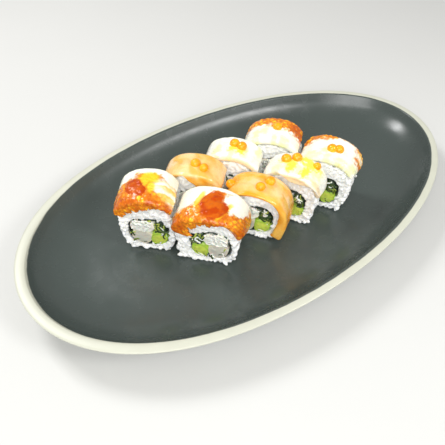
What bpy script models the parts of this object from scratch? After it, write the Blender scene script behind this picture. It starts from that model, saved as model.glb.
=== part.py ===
"""Eight uramaki rolls, each with a draped slice on top, served on an egg-shaped stoneware plate.

The origin is the middle of the plate's foot. +X runs along the plate's length to its narrow end
and +Z is up. A roll's own frame is: u across its cut face, v from the near face to the far one,
w up from the plate.
"""

import math
import random

import bmesh
import bpy
from mathutils import Matrix, Vector

MM = 0.001

# Plate
PLATE_LENGTH = 360.0
PLATE_WIDTH = 209.4
EGG = (-0.062, 0.035, -0.006)  # widens the half width towards -X and keeps the ends round
WELL_FLOOR = 6.7
PLATE_STEPS = 56
# Inset from the rim and height: up the outside from the foot, over the lip, down to the well
PLATE_PROFILE = (
    (60.0, 0.0), (58.5, 1.6), (45.0, 2.2), (30.0, 4.4), (18.0, 9.4), (8.0, 17.6), (1.4, 25.0),
    (0.0, 27.2), (1.6, 28.0), (6.0, 27.7), (7.6, 25.9), (12.0, 19.8), (20.0, 13.2), (30.0, 8.9),
    (43.0, 7.0), (58.0, WELL_FLOOR),
)

# Rolls: name, kind of slice, middle of the near face's foot (x, y), turn of the face about +Z,
# length, height of the rice, half widths to the left and right at the foot and halfway up
FOOT_GAP = 0.3  # between the plate's well and the rolls
ROLLS = (
    ("front_1", "eel", (-61.1, -26.8), -47.3, 28.0, 42.2, (21.3, 21.3), (21.3, 22.3)),
    ("front_2", "salmon", (-20.6, -25.1), -51.7, 21.5, 39.7, (19.2, 20.9), (19.5, 22.8)),
    ("front_3", "whitefish", (10.5, -26.2), -55.7, 19.8, 44.0, (17.5, 21.3), (18.0, 23.3)),
    ("front_4", "eel", (40.6, -30.0), -56.7, 28.0, 43.2, (17.2, 21.0), (17.5, 24.2)),
    ("back_1", "eel", (-86.0, 5.1), -41.9, 29.5, 47.0, (19.4, 16.6), (22.8, 16.6)),
    ("back_2", "salmon", (-44.8, 11.0), -45.7, 20.5, 45.2, (19.4, 19.4), (22.3, 21.0)),
    ("back_3", "whitefish", (-12.7, 9.6), -50.7, 24.0, 43.0, (19.4, 19.4), (21.8, 20.4)),
    ("back_4", "eel", (24.3, 6.7), -51.7, 29.0, 43.2, (19.4, 19.4), (22.0, 20.2)),
)
MIRRORED = ("front_2", "front_3", "front_4", "back_1", "back_2", "back_3", "back_4")

# Rice
SQUARENESS = (5.0, 3.8)  # of the lower and the upper half
CROWN_FALL = 0.2
SHOULDER_TUCK = 3.0  # the rice draws in under the slice by this much on each side
FINE_STEPS = 360
RICE_STEPS = 28
RICE_ROWS = (0.0, 0.09, 0.5, 0.91, 1.0)
RICE_BUMP = 0.7
CUT_ROUND = 1.0
WEB_SHARE = 0.45  # where a ring of bumps runs on the cut faces, from the outline to the channel
FACE_BUMP = (-0.4, 0.5)
CHANNEL_ROUND = 0.5
GRAIN = (5.6, 2.6)
GRAIN_LOWEST = 0.05
# Loose grains on each roll: side (degrees round the section from the right), depth, lean
LOOSE_GRAINS = {
    "front_1": ((228, 0.02, 20), (300, 0.03, -30), (322, 0.5, 60), (250, 0.02, 5)),
    "front_2": ((305, 0.06, 15), (285, 0.03, -20)),
    "front_3": ((318, 0.05, 30), (300, 0.03, -10), (340, 0.6, 70)),
    "front_4": ((338, 0.92, 10), (346, 0.99, -25), (330, 0.5, 65), (316, 0.05, 15)),
    "back_1": ((232, 0.02, 15), (262, 0.02, -10), (172, 0.97, 5), (290, 0.02, 20)),
    "back_2": ((185, 0.5, 40), (200, 0.9, 10)),
    "back_3": ((190, 0.5, -30), (215, 0.9, 15)),
    "back_4": ((188, 0.4, 35), (330, 0.97, -15)),
}

# Filling, as the box that holds it and each piece's share of that box
FILLING_LIFT = 4.4
FILLING_SIZE = (29.0, 25.5)
FILLING_SHIFT = {"front_1": 3.2, "front_2": 1.5, "front_3": 1.5, "front_4": 1.0, "back_1": -1.5}
FILLINGS = {
    "avocado": (0.03, 0.05, 0.41, 0.46),
    "prawn": (0.45, 0.04, 0.97, 0.55),
    "greens": (0.03, 0.50, 0.31, 0.96),
    "cheese": (0.35, 0.59, 0.97, 0.96),
}
RING_STEPS = 18
BAR_STEPS = 14
RING_GAP = 0.5
RING_SQUARENESS = 3.0
NORI = 0.7
NORI_RECESS = 0.4
BAR_SQUARENESS = 2.6
BAR_WOBBLE = 0.1
BAR_MARGIN = 0.8
BAR_RECESS = {"avocado": 0.2, "prawn": 0.4, "greens": 0.7, "cheese": 0.3}

# Slices: thickness and ruggedness of each kind
SLICES = {"eel": (5.0, 0.45), "salmon": (4.0, 0.12), "whitefish": (4.5, 0.2)}
SLICE_CLEARANCE = 1.4
SLICE_COLUMNS = 12
SLICE_ROWS = (0.0, 0.14, 0.4, 0.66, 0.88, 1.0)
SLICE_FRONT = 0.6  # the slice reaches this far past the near face
SLICE_BACK = 0.4
SLICE_LOWEST = 0.3
SLICE_FOCUS = 0.3  # share of the roll's height at which the point lies that the slice's lip points to
LIP_STAND_OFF = 0.6
LIP_THICKNESS = 2.6
LIP_LEAN = 1.5  # the slice's top reaches this far over the lip
LIP_LEAST = 0.25  # share of these three that is left where the lip ends
LIP_FULL_DEPTH = 4.0  # from this depth on a lip has its whole thickness
LIP_WOBBLE = 0.1
EDGE_THINNING = 0.72
# Heights where the slice ends: on the left flank near and far, on the right flank near and far
SLICE_ENDS = {
    "front_1": (30.0, 31.0, 29.0, 12.0), "front_2": (30.0, 30.0, 4.0, 4.0),
    "front_3": (34.0, 34.0, 30.0, 24.0), "front_4": (34.0, 34.0, 35.0, 26.0),
    "back_1": (36.0, 30.0, 38.0, 38.0), "back_2": (24.0, 26.0, 36.0, 36.0),
    "back_3": (26.0, 28.0, 35.0, 35.0), "back_4": (28.0, 26.0, 36.0, 36.0),
}
# How far the slice hangs over the near face, at five even steps from its left end to its right one
LIPS = {
    "front_1": (9.0, 7.0, 4.5, 1.5, 1.0), "front_2": (1.0, 1.5, 2.0, 4.0, 7.0),
    "front_3": (0.6, 0.6, 5.0, 3.0, 0.6), "back_1": (5.0, 5.5, 6.0, 3.5, 0.6),
    "back_2": (0.6, 0.6, 2.0, 12.0, 13.0),
}
ROE_RADIUS = 3.4
ROE_SINK = 0.45
# Eggs: place across the slice from -1 to 1, and from the near edge (0) to the far one (1)
ROE = {
    "front_2": ((-0.84, 0.53), (-0.28, 0.3), (-0.16, 0.64)),
    "front_3": ((-0.34, 0.53), (-0.14, 0.68), (0.32, 0.69)),
    "front_4": ((-0.02, 0.37), (0.16, 0.42)),
    "back_2": ((0.22, 0.4), (0.42, 0.27)),
    "back_3": ((0.14, 0.6), (0.34, 0.53)),
    "back_4": ((0.22, 0.53),),
}

# Materials: colour, roughness
FINISHES = {
    "plate": ((0.075, 0.085, 0.085), 0.42),
    "rice": ((0.86, 0.86, 0.82), 0.5),
    "nori": ((0.012, 0.02, 0.014), 0.6),
    "avocado": ((0.42, 0.50, 0.06), 0.45),
    "greens": ((0.06, 0.12, 0.03), 0.5),
    "cheese": ((0.90, 0.88, 0.80), 0.45),
    "prawn": ((0.62, 0.58, 0.50), 0.4),
    "eel": ((0.83, 0.33, 0.05), 0.3),
    "salmon": ((0.93, 0.50, 0.16), 0.28),
    "whitefish": ((0.92, 0.87, 0.72), 0.3),
}


def clear_scene():
    for thing in list(bpy.data.objects):
        bpy.data.objects.remove(thing)


def finish(name):
    """A plain material with the piece's colour and roughness."""
    found = bpy.data.materials.get(name)
    if found:
        return found
    colour, roughness = FINISHES[name]
    made = bpy.data.materials.new(name)
    made.use_nodes = True
    shader = made.node_tree.nodes["Principled BSDF"]
    shader.inputs["Base Color"].default_value = (*colour, 1.0)
    shader.inputs["Roughness"].default_value = roughness
    shader.inputs["Metallic"].default_value = 0.0
    return made


def new_object(name, shape, material):
    """A smooth-shaded object from a bmesh whose points are in millimetres."""
    bmesh.ops.recalc_face_normals(shape, faces=shape.faces)
    shape.transform(Matrix.Scale(MM, 4))
    mesh = bpy.data.meshes.new(name)
    shape.to_mesh(mesh)
    shape.free()
    mesh.shade_smooth()
    mesh.set_sharp_from_angle(angle=math.radians(50))
    made = bpy.data.objects.new(name, mesh)
    made.data.materials.append(finish(material))
    bpy.context.scene.collection.objects.link(made)
    return made


def skin(shape, rings, closed_along=False):
    """Faces between closed rings of points. The last ring may join the first."""
    rows = [[shape.verts.new(point) for point in ring] for ring in rings]
    pairs = list(zip(rows, rows[1:]))
    if closed_along:
        pairs.append((rows[-1], rows[0]))
    count = len(rows[0])
    for row, after in pairs:
        for i in range(count):
            j = (i + 1) % count
            shape.faces.new((row[i], row[j], after[j], after[i]))
    return rows


def evenly(points, count, closed):
    """Count points at equal steps along a line of 2-D points."""
    line = [Vector(p) for p in points]
    if closed:
        line.append(line[0])
    lengths = [0.0]
    for a, b in zip(line, line[1:]):
        lengths.append(lengths[-1] + (b - a).length)
    steps = count if closed else count - 1
    found = []
    k = 0
    for i in range(count):
        target = lengths[-1] * i / steps
        while k < len(line) - 2 and lengths[k + 1] < target:
            k += 1
        share = (target - lengths[k]) / (lengths[k + 1] - lengths[k])
        found.append(line[k].lerp(line[k + 1], min(share, 1.0)))
    return found


def outward(points, closed):
    """Unit normals of an anticlockwise line of 2-D points."""
    count = len(points)
    found = []
    for i in range(count):
        before = points[(i - 1) % count] if closed else points[max(i - 1, 0)]
        after = points[(i + 1) % count] if closed else points[min(i + 1, count - 1)]
        along = (after - before).normalized()
        found.append(Vector((along.y, -along.x)))
    return found


def rounded_box(low, high, count, squareness):
    """An anticlockwise superellipse in the box, with its points at equal steps."""
    middle = (Vector(low) + Vector(high)) / 2
    half = (Vector(high) - Vector(low)) / 2
    fine = []
    for i in range(FINE_STEPS):
        turn = math.tau * i / FINE_STEPS
        x = math.copysign(abs(math.cos(turn)) ** (2 / squareness), math.cos(turn))
        y = math.copysign(abs(math.sin(turn)) ** (2 / squareness), math.sin(turn))
        fine.append(middle + Vector((x * half.x, y * half.y)))
    return evenly(fine, count, True)


def rice_outline(roll, count):
    """The section of a roll: a rounded square, arched on top, from its foot to its shoulders."""
    height, foot, middle = roll[5:8]
    fine = []
    for i in range(FINE_STEPS):
        turn = math.tau * i / FINE_STEPS
        power = 2 / SQUARENESS[math.sin(turn) > 0]
        x = math.copysign(abs(math.cos(turn)) ** power, math.cos(turn))
        z = math.copysign(abs(math.sin(turn)) ** power, math.sin(turn))
        if z > 0:
            z *= 1 - CROWN_FALL * x * x
        level = (z + 1) / 2
        side = 0 if x < 0 else 1
        low_share = min(level / 0.5, 1.0)
        high_share = max((level - 0.5) / 0.5, 0.0)
        half = foot[side] + (middle[side] - foot[side]) * low_share - SHOULDER_TUCK * high_share
        fine.append(Vector((x * half, level * height)))
    return evenly(fine, count, True)


def placed(roll, u, v, w):
    """A point of the roll's own frame in the plate's."""
    (x, y), turn = roll[2], math.radians(roll[3])
    return Vector(
        (
            x + u * math.cos(turn) - v * math.sin(turn),
            y + u * math.sin(turn) + v * math.cos(turn),
            WELL_FLOOR + FOOT_GAP + w,
        )
    )


def plate_ring(inset, height):
    """One level line of the plate: the egg outline drawn in by the inset."""
    ring = []
    for i in range(PLATE_STEPS):
        turn = math.tau * i / PLATE_STEPS
        swell = (1 + sum(k * math.cos((n + 1) * turn) for n, k in enumerate(EGG))) / (1 - EGG[1])
        x = (PLATE_LENGTH / 2 - inset) * math.cos(turn)
        y = (PLATE_WIDTH / 2 - inset) * math.sin(turn) * swell
        ring.append((x, y, height))
    return ring


def make_plate():
    shape = bmesh.new()
    rows = skin(shape, [plate_ring(inset, height) for inset, height in PLATE_PROFILE])
    shape.faces.new(rows[0])
    shape.faces.new(rows[-1])
    return new_object("plate", shape, "plate")


def filling_box(roll):
    """The corners of the box that holds a roll's filling."""
    shift = FILLING_SHIFT.get(roll[0], 0.0)
    low = Vector((shift - FILLING_SIZE[0] / 2, FILLING_LIFT))
    return low, low + Vector(FILLING_SIZE)


def make_rice(roll, draw):
    """The rice: a bumpy block of grains with the filling's channel through it."""
    name, length = roll[0], roll[4]
    outline = rice_outline(roll, RICE_STEPS)
    normals = outward(outline, True)
    low, high = filling_box(roll)
    channel = rounded_box(low, high, RICE_STEPS, RING_SQUARENESS)
    rings = []
    for share in RICE_ROWS:
        at_cut = share in (0.0, 1.0)
        ring = []
        for point, normal in zip(outline, normals):
            out = -CUT_ROUND if at_cut else draw.uniform(-RICE_BUMP, RICE_BUMP)
            spot = point + normal * out
            ring.append(placed(roll, spot.x, share * length, max(spot.y, 0.0)))
        rings.append(ring)
    web = [outer.lerp(inner, WEB_SHARE) for outer, inner in zip(outline, channel)]
    for face, inward in ((length, -1), (0.0, 1)):
        middle = [placed(roll, p.x, face - inward * draw.uniform(*FACE_BUMP), p.y) for p in web]
        edge = [placed(roll, p.x, face + inward * CHANNEL_ROUND, p.y) for p in channel]
        rings.extend((middle, edge) if face else (edge, middle))
    shape = bmesh.new()
    skin(shape, rings, closed_along=True)
    rice = new_object(f"{name}_rice", shape, "rice")
    fuse(rice, [make_grain(roll, outline, *place) for place in LOOSE_GRAINS[name]])
    return rice


def make_grain(roll, outline, side, depth, lean):
    """A loose grain, half sunk in the rice's flank or cut face."""
    aim = Vector((math.cos(math.radians(side)), math.sin(math.radians(side))))
    middle = Vector((0.0, roll[5] / 2))
    spot = max(outline, key=lambda p: (p - middle).normalized().dot(aim))
    shape = bmesh.new()
    bmesh.ops.create_uvsphere(shape, u_segments=6, v_segments=5, radius=1.0)
    around = Vector((-aim.y, 0.0, aim.x))
    along = around * math.cos(math.radians(lean)) + Vector((0, 1, 0)) * math.sin(math.radians(lean))
    across = along.orthogonal().normalized()
    third = along.cross(across)
    centre = Vector((spot.x, depth * roll[4], max(spot.y, GRAIN[1] / 2)))
    for vert in shape.verts:
        lengthways = along * vert.co.z * GRAIN[0] / 2
        sideways = (across * vert.co.x + third * vert.co.y) * GRAIN[1] / 2
        u, v, w = centre + lengthways + sideways
        vert.co = placed(roll, u, v, max(w, GRAIN_LOWEST))
    return new_object("grain", shape, "rice")


def fuse(base, pieces):
    """Joins the small pieces to the base with one union, and removes them."""
    group = bpy.data.collections.new(f"{base.name}_pieces")
    bpy.context.scene.collection.children.link(group)
    for piece in pieces:
        bpy.context.scene.collection.objects.unlink(piece)
        group.objects.link(piece)
    union = base.modifiers.new("union", "BOOLEAN")
    union.operation = "UNION"
    union.operand_type = "COLLECTION"
    union.collection = group
    union.solver = "EXACT"
    graph = bpy.context.evaluated_depsgraph_get()
    joined = bpy.data.meshes.new_from_object(base.evaluated_get(graph))
    base.modifiers.clear()
    base.data = joined
    joined.name = base.name
    for piece in pieces:
        bpy.data.objects.remove(piece)
    bpy.data.collections.remove(group)
    return base


def make_nori(roll):
    """The seaweed: a thin sleeve round the filling, through the whole roll."""
    low, high = filling_box(roll)
    near, far = NORI_RECESS, roll[4] - NORI_RECESS
    outer, inner = RING_GAP, RING_GAP + NORI
    rings = []
    for inset, depth in ((outer, near), (outer, far), (inner, far), (inner, near)):
        corner = Vector((inset, inset))
        ring = rounded_box(low + corner, high - corner, RING_STEPS, RING_SQUARENESS)
        rings.append([placed(roll, p.x, depth, p.y) for p in ring])
    shape = bmesh.new()
    skin(shape, rings, closed_along=True)
    return new_object(f"{roll[0]}_nori", shape, "nori")


def pressed_into(point, middle, half):
    """The point, or the nearest one inside the sleeve's rounded section."""
    away = point - middle
    power = RING_SQUARENESS
    reach = (abs(away.x / half.x) ** power + abs(away.y / half.y) ** power) ** (1 / power)
    return middle + away / max(reach, 1.0)


def make_bar(roll, filling, draw):
    """One stick of the filling, from face to face, with uneven sides."""
    low, high = filling_box(roll)
    wall = Vector((1, 1)) * (RING_GAP + NORI)
    size = high - low - 2 * wall
    left, bottom, right, top = FILLINGS[filling]
    if roll[0] in MIRRORED:
        left, right = 1 - right, 1 - left
    corner = low + wall + Vector((left * size.x, bottom * size.y))
    opposite = low + wall + Vector((right * size.x, top * size.y))
    outline = rounded_box(corner, opposite, BAR_STEPS, BAR_SQUARENESS)
    centre = corner.lerp(opposite, 0.5)
    outline = [centre.lerp(p, draw.uniform(1 - BAR_WOBBLE, 1.0)) for p in outline]
    middle, half = low.lerp(high, 0.5), size / 2 - Vector((BAR_MARGIN, BAR_MARGIN))
    outline = [pressed_into(p, middle, half) for p in outline]
    recess = BAR_RECESS[filling]
    ends = [[placed(roll, p.x, v, p.y) for p in outline] for v in (recess, roll[4] - recess)]
    shape = bmesh.new()
    rows = skin(shape, ends)
    for row in rows:
        shape.faces.new(row)
    return new_object(f"{roll[0]}_{filling}", shape, filling)


def slice_focus(roll):
    """The point of the section that the slice's lip points to."""
    return Vector((0.0, roll[5] * SLICE_FOCUS))


def slice_line(roll, share):
    """The arch that the slice lies on at a share of its length, from its left end to its right one."""
    outline = rice_outline(roll, FINE_STEPS)
    normals = outward(outline, True)
    arch = [point + normal * SLICE_CLEARANCE for point, normal in zip(outline, normals)]
    left_near, left_far, right_near, right_far = SLICE_ENDS[roll[0]]
    left_end = left_near + (left_far - left_near) * share
    right_end = right_near + (right_far - right_near) * share
    kept = [p for p in arch if p.y > (left_end if p.x < 0 else right_end)]
    kept.sort(key=lambda p: math.atan2(*(p - slice_focus(roll))))
    return evenly(kept, SLICE_COLUMNS, False)


def lip_depth(roll, share):
    """How far the slice hangs over the near face, at a share of its width."""
    depths = LIPS[roll[0]]
    place = share * (len(depths) - 1)
    step = min(int(place), len(depths) - 2)
    return depths[step] + (depths[step + 1] - depths[step]) * (place - step)


def fullness(roll, share):
    """How full the slice's lip is at a share of its width, from 0 without a lip to 1."""
    if roll[0] not in LIPS:
        return 0.0
    return min(max(lip_depth(roll, share) / LIP_FULL_DEPTH, LIP_LEAST), 1.0)


def make_slice(roll, draw):
    """The slice on top: a slab that follows the rice's arch, with thinner edges."""
    name, kind, length = roll[0], roll[1], roll[4]
    thickness, ruggedness = SLICES[kind]
    under, over = [], []
    if name in LIPS:
        low_row, high_row = lip_rows(roll, draw)
        under.append(low_row)
        over.append(high_row)
    for row, share in enumerate(SLICE_ROWS):
        line = slice_line(roll, share)
        normals = [-n for n in outward(line, False)]
        at_edge = row in (0, len(SLICE_ROWS) - 1)
        low_row, high_row = [], []
        for column, (point, normal) in enumerate(zip(line, normals)):
            full = fullness(roll, column / (SLICE_COLUMNS - 1))
            start = -SLICE_FRONT - LIP_STAND_OFF * full
            v = start + share * (length + SLICE_BACK - start)
            lean = 0.0 if row else LIP_LEAN * full
            thin = EDGE_THINNING if at_edge or column in (0, SLICE_COLUMNS - 1) else 1.0
            rise = thickness * thin + draw.uniform(-ruggedness, ruggedness)
            top = point + normal * rise
            low_row.append(placed(roll, point.x, v, point.y))
            high_row.append(placed(roll, top.x, v - lean, max(top.y, SLICE_LOWEST)))
        under.append(low_row)
        over.append(high_row)
    shape = bmesh.new()
    close_slab(shape, under, over)
    slab = new_object(f"{name}_{kind}", shape, kind)
    eggs = [make_egg(over, len(over) - len(SLICE_ROWS), *place) for place in ROE.get(name, ())]
    if eggs:
        fuse(slab, eggs)
    return slab


def lip_rows(roll, draw):
    """The lower edge of a slice that hangs over the near face: the row at the rice and the outer one."""
    low_row, high_row = [], []
    for column, point in enumerate(slice_line(roll, 0.0)):
        share = column / (SLICE_COLUMNS - 1)
        full = fullness(roll, share)
        inward = (slice_focus(roll) - point).normalized()
        end = point + inward * lip_depth(roll, share)
        start = -SLICE_FRONT - LIP_STAND_OFF * full
        front = start - LIP_THICKNESS * full + draw.uniform(-LIP_WOBBLE, LIP_WOBBLE)
        low_row.append(placed(roll, end.x, start, end.y))
        high_row.append(placed(roll, end.x, front, end.y))
    return low_row, high_row


def close_slab(shape, under, over):
    """A closed slab from the grid of its underside and the grid of its top."""
    rows = skin(shape, [low_row + high_row[::-1] for low_row, high_row in zip(under, over)])
    for row in (rows[0], rows[-1]):
        half = len(row) // 2
        for i in range(half - 1):
            shape.faces.new((row[i], row[i + 1], row[-2 - i], row[-1 - i]))


def make_egg(over, first_row, across, along):
    """A salmon egg, half sunk in the top of a slice."""
    rows = over[first_row:]
    depth = along * (len(rows) - 1)
    width = (across + 1) / 2 * (len(rows[0]) - 1)
    i = min(int(depth), len(rows) - 2)
    j = min(int(width), len(rows[0]) - 2)
    near = rows[i][j].lerp(rows[i][j + 1], width - j)
    far = rows[i + 1][j].lerp(rows[i + 1][j + 1], width - j)
    spot = near.lerp(far, depth - i)
    normal = (rows[i][j + 1] - rows[i][j]).cross(far - near).normalized()
    if normal.z < 0:
        normal = -normal
    shape = bmesh.new()
    bmesh.ops.create_icosphere(shape, subdivisions=2, radius=ROE_RADIUS)
    bmesh.ops.translate(shape, verts=shape.verts, vec=spot + normal * ROE_RADIUS * (1 - ROE_SINK * 2))
    return new_object("egg", shape, "salmon")


def main():
    clear_scene()
    make_plate()
    for number, roll in enumerate(ROLLS):
        draw = random.Random(number)
        make_rice(roll, draw)
        make_nori(roll)
        for filling in FILLINGS:
            make_bar(roll, filling, draw)
        make_slice(roll, draw)


main()
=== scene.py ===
"""Dresses a plate of uramaki: a glazed plate and eight rolls with rice, fillings, slices and roe.

A roll's own frame is: u across its cut face, v from the near face to the far one, w up from the
plate. On a slice, across runs from its left end (0) to its right end (1) and along from the near
edge (0) to the far one (1), below 0 where it hangs over the near face.
"""

import math
import random
from typing import NamedTuple

import bmesh
import bpy
import numpy as np
from mathutils import Matrix, Vector, noise


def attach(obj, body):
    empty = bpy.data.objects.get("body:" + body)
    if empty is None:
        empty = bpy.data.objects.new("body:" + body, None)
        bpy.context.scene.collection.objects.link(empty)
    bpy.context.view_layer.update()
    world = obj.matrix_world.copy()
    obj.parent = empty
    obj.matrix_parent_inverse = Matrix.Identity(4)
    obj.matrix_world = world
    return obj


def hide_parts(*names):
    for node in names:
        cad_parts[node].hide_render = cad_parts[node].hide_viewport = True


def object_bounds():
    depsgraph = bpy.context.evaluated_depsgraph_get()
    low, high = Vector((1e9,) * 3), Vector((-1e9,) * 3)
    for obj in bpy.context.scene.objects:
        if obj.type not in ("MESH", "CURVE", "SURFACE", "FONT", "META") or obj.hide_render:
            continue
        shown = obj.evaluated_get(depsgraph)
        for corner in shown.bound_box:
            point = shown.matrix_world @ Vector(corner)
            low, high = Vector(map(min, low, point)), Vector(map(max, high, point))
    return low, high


bl_info = {
    "name": "Uramaki Plate",
    "version": (1, 0, 0),
    "blender": (4, 5, 0),
    "location": "View3D > Sidebar > Uramaki",
    "description": "Glazed plate with rice grains, fillings, draped slices, roe and sauce",
    "category": "Add Mesh",
}

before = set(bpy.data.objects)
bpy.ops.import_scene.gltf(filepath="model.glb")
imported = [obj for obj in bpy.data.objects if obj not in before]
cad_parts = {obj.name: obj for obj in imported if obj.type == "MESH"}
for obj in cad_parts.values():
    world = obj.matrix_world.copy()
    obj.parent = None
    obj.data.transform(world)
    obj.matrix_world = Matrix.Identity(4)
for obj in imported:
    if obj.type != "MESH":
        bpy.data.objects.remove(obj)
CAD_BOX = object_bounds()
MM = 0.001


class Roll(NamedTuple):
    """One cut piece, in millimetres. Left and right are as seen on its near face."""

    name: str
    kind: str
    foot: tuple  # middle of the near face's foot on the plate
    turn: float  # degrees of the face about +Z
    length: float
    height: float
    foot_half: tuple
    middle_half: tuple
    ends: tuple  # heights where the slice ends: left near, left far, right near, right far
    lip: tuple = ()  # how far it hangs over the near face, at even steps from left to right


ROLLS = (
    Roll("front_1", "eel", (-61.1, -26.8), -47.3, 28.0, 42.2, (21.3, 21.3), (21.3, 22.3),
         (30.0, 31.0, 29.0, 12.0), (9.0, 7.0, 4.5, 1.5, 1.0)),
    Roll("front_2", "salmon", (-20.6, -25.1), -51.7, 21.5, 39.7, (19.2, 20.9), (19.5, 22.8),
         (30.0, 30.0, 4.0, 4.0), (1.0, 1.5, 2.0, 4.0, 7.0)),
    Roll("front_3", "whitefish", (10.5, -26.2), -55.7, 19.8, 44.0, (17.5, 21.3), (18.0, 23.3),
         (34.0, 34.0, 30.0, 24.0), (0.6, 0.6, 5.0, 3.0, 0.6)),
    Roll("front_4", "eel", (40.6, -30.0), -56.7, 28.0, 43.2, (17.2, 21.0), (17.5, 24.2),
         (34.0, 34.0, 35.0, 26.0)),
    Roll("back_1", "eel", (-86.0, 5.1), -41.9, 29.5, 47.0, (19.4, 16.6), (22.8, 16.6),
         (36.0, 30.0, 38.0, 38.0), (5.0, 5.5, 6.0, 3.5, 0.6)),
    Roll("back_2", "salmon", (-44.8, 11.0), -45.7, 20.5, 45.2, (19.4, 19.4), (22.3, 21.0),
         (24.0, 26.0, 36.0, 36.0), (0.6, 0.6, 2.0, 12.0, 13.0)),
    Roll("back_3", "whitefish", (-12.7, 9.6), -50.7, 24.0, 43.0, (19.4, 19.4), (21.8, 20.4),
         (26.0, 28.0, 35.0, 35.0)),
    Roll("back_4", "eel", (24.3, 6.7), -51.7, 29.0, 43.2, (19.4, 19.4), (22.0, 20.2),
         (28.0, 26.0, 36.0, 36.0)),
)
FILLINGS = ("avocado", "greens", "cheese", "prawn")

# Plate, in millimetres: the inset from the rim and the height, from the foot over the lip to the well
PLATE_HALF = (180.0, 104.57)
EGG = (-0.062, 0.035, -0.006)  # waves that turn the ellipse into an egg
PLATE_PROFILE = (
    (62.0, 0.0), (60.0, 0.0), (58.5, 1.6), (45.0, 2.2), (30.0, 4.4), (18.0, 9.4), (8.0, 17.6),
    (1.4, 25.0), (0.0, 27.2), (1.6, 28.0), (6.0, 27.7), (7.6, 25.9), (12.0, 19.8), (20.0, 13.2),
    (30.0, 8.9), (43.0, 7.0), (58.0, 6.7), (62.0, 6.7),
)
REACH = 120.0  # radius of the turned ring before it is drawn into the egg
PROFILE_CUTS = 4
BAND_EXTRA = (3.0, 0.8)  # how much wider the rim's bare band is at the blunt end and at the narrow one
PLATE_STEPS = 176

# Rice, in millimetres: its section, then its melted grains
LOWER_SQUARENESS = 5.0
UPPER_SQUARENESS = 3.8
CROWN_FALL = 0.2
SHOULDER_TUCK = 3.0
ROLL_FLOOR = 7.0  # height of the rolls' feet, just over the plate's well
RICE_VOXEL = 0.5
RICE_EASING = 2
RICE_SEED = 40
GRAIN_SIDES = (7, 6)
GRAIN_TRIES = 5  # places that are tried for each square of the grains' spacing
GRAIN_SINK = (0.36, 0.28)  # how deep grains sit at the cut faces and elsewhere, as a share of their width
LUMP_SIZE = 5.5
LUMP_HEIGHT = 0.6
CORE_INSET = 0.75  # how far the rice's core is drawn in under the grains
CORE_ROUGHNESS = 0.4

# Slices, in millimetres
THICKNESS = {"eel": 5.0, "salmon": 4.0, "whitefish": 4.5}
SLICE_CLEARANCE = 1.4  # gap between the rice's section and the line that the slice follows
SLICE_FRONT = 0.6
SLICE_BACK = 0.4
LIP_BEND = 0.6  # inner radius of the fold over the near face
LIP_FOLD = 6.0  # length of the slice that the fold takes
LIP_FULL_DEPTH = 4.0  # from this depth on a lip is folded right down
LIP_LEAST = 0.25  # least share of the fold that a lip takes
LIP_THICKNESS = 2.3
LIP_TAPER = 1.0  # how much thinner the slice is at the start of the fold
SLICE_SINK = 1.2  # how far the slice's underside dips below that line
END_SHARE = 0.62  # thickness of a slice at its left and right end, as a share of the full one
END_REACH = 0.25  # share of the slice's width over which it grows to the full thickness
LOWEST = 0.3  # least height of a slice over the rolls' feet
SLICE_CUTS = (96, 50)
BLISTER_SIZE = 3.1
BLISTER_HEIGHT = 0.7
CRUST_SIZE = 2.0
CRUST_HEIGHT = 0.25
SWELL_SIZE = 9.0
SWELL = {"eel": 0.35, "salmon": 0.3, "whitefish": 0.55}
RIDGES = {"salmon": (0.12, 3.0, 12.0), "whitefish": (0.3, 3.5, 8.0)}  # height, width and length
RAGGED_LIP = {"eel": 0.8, "salmon": 0.1, "whitefish": 0.3}
LIP_DRIPS = ((1.0, 16.0, 3.0), (0.6, 40.0, 5.0))  # share, how often across the slice, place in the noise
EDGE_LEAST = 0.3  # share of the thickness that is left at a slice's very edge
SIDE_ROUNDING = 0.8  # radius of a rounded edge, as a share of the thickness
END_ROUNDING = 0.7
CREAM_CALM = 0.35  # how much of the eel's unevenness shows under the cream

# Pools of sauce and salmon eggs
SAUCE_HEIGHT = 0.55
SAUCE_DEPTH = 1.0  # how deep a pool's underside lies in the slice
SAUCE_EDGE = 0.02  # share of the slice's width that stays free of pools
SAUCE_RAGGED = 0.3
SAUCE_RISE = 0.45  # share of a pool's half width over which it rises
SAUCE_MARGIN = 1.1  # reach of a pool's sheet, as a share of its patch
SAUCE_CUTS = (30, 26)
EGG_LIFT = 0.12  # height of an egg's middle over the slice, as a share of its radius
EGG_SQUASH = (1.03, 1.0, 0.94, 1.0)

# Where no rice grains are needed, in millimetres
CHANNEL = (19.0, 2.5, 33.0)  # the filling's channel: half width, lowest and highest place
CHANNEL_MIDDLE = 0.8  # height of the channel's middle, as a share of half the roll's height
CHANNEL_END = 0.5  # how far from the cut faces the channel counts as hidden
COVER_END = 2.5  # the same for the part under the slice
COVER_OVERLAP = 4.0  # how far over the slice's lower edge the covered part starts
UNDERSIDE_END = 3.0
CUT_FACING = 0.5  # least share of a cut face's normal along the roll
DOWN_FACING = 0.7

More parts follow.
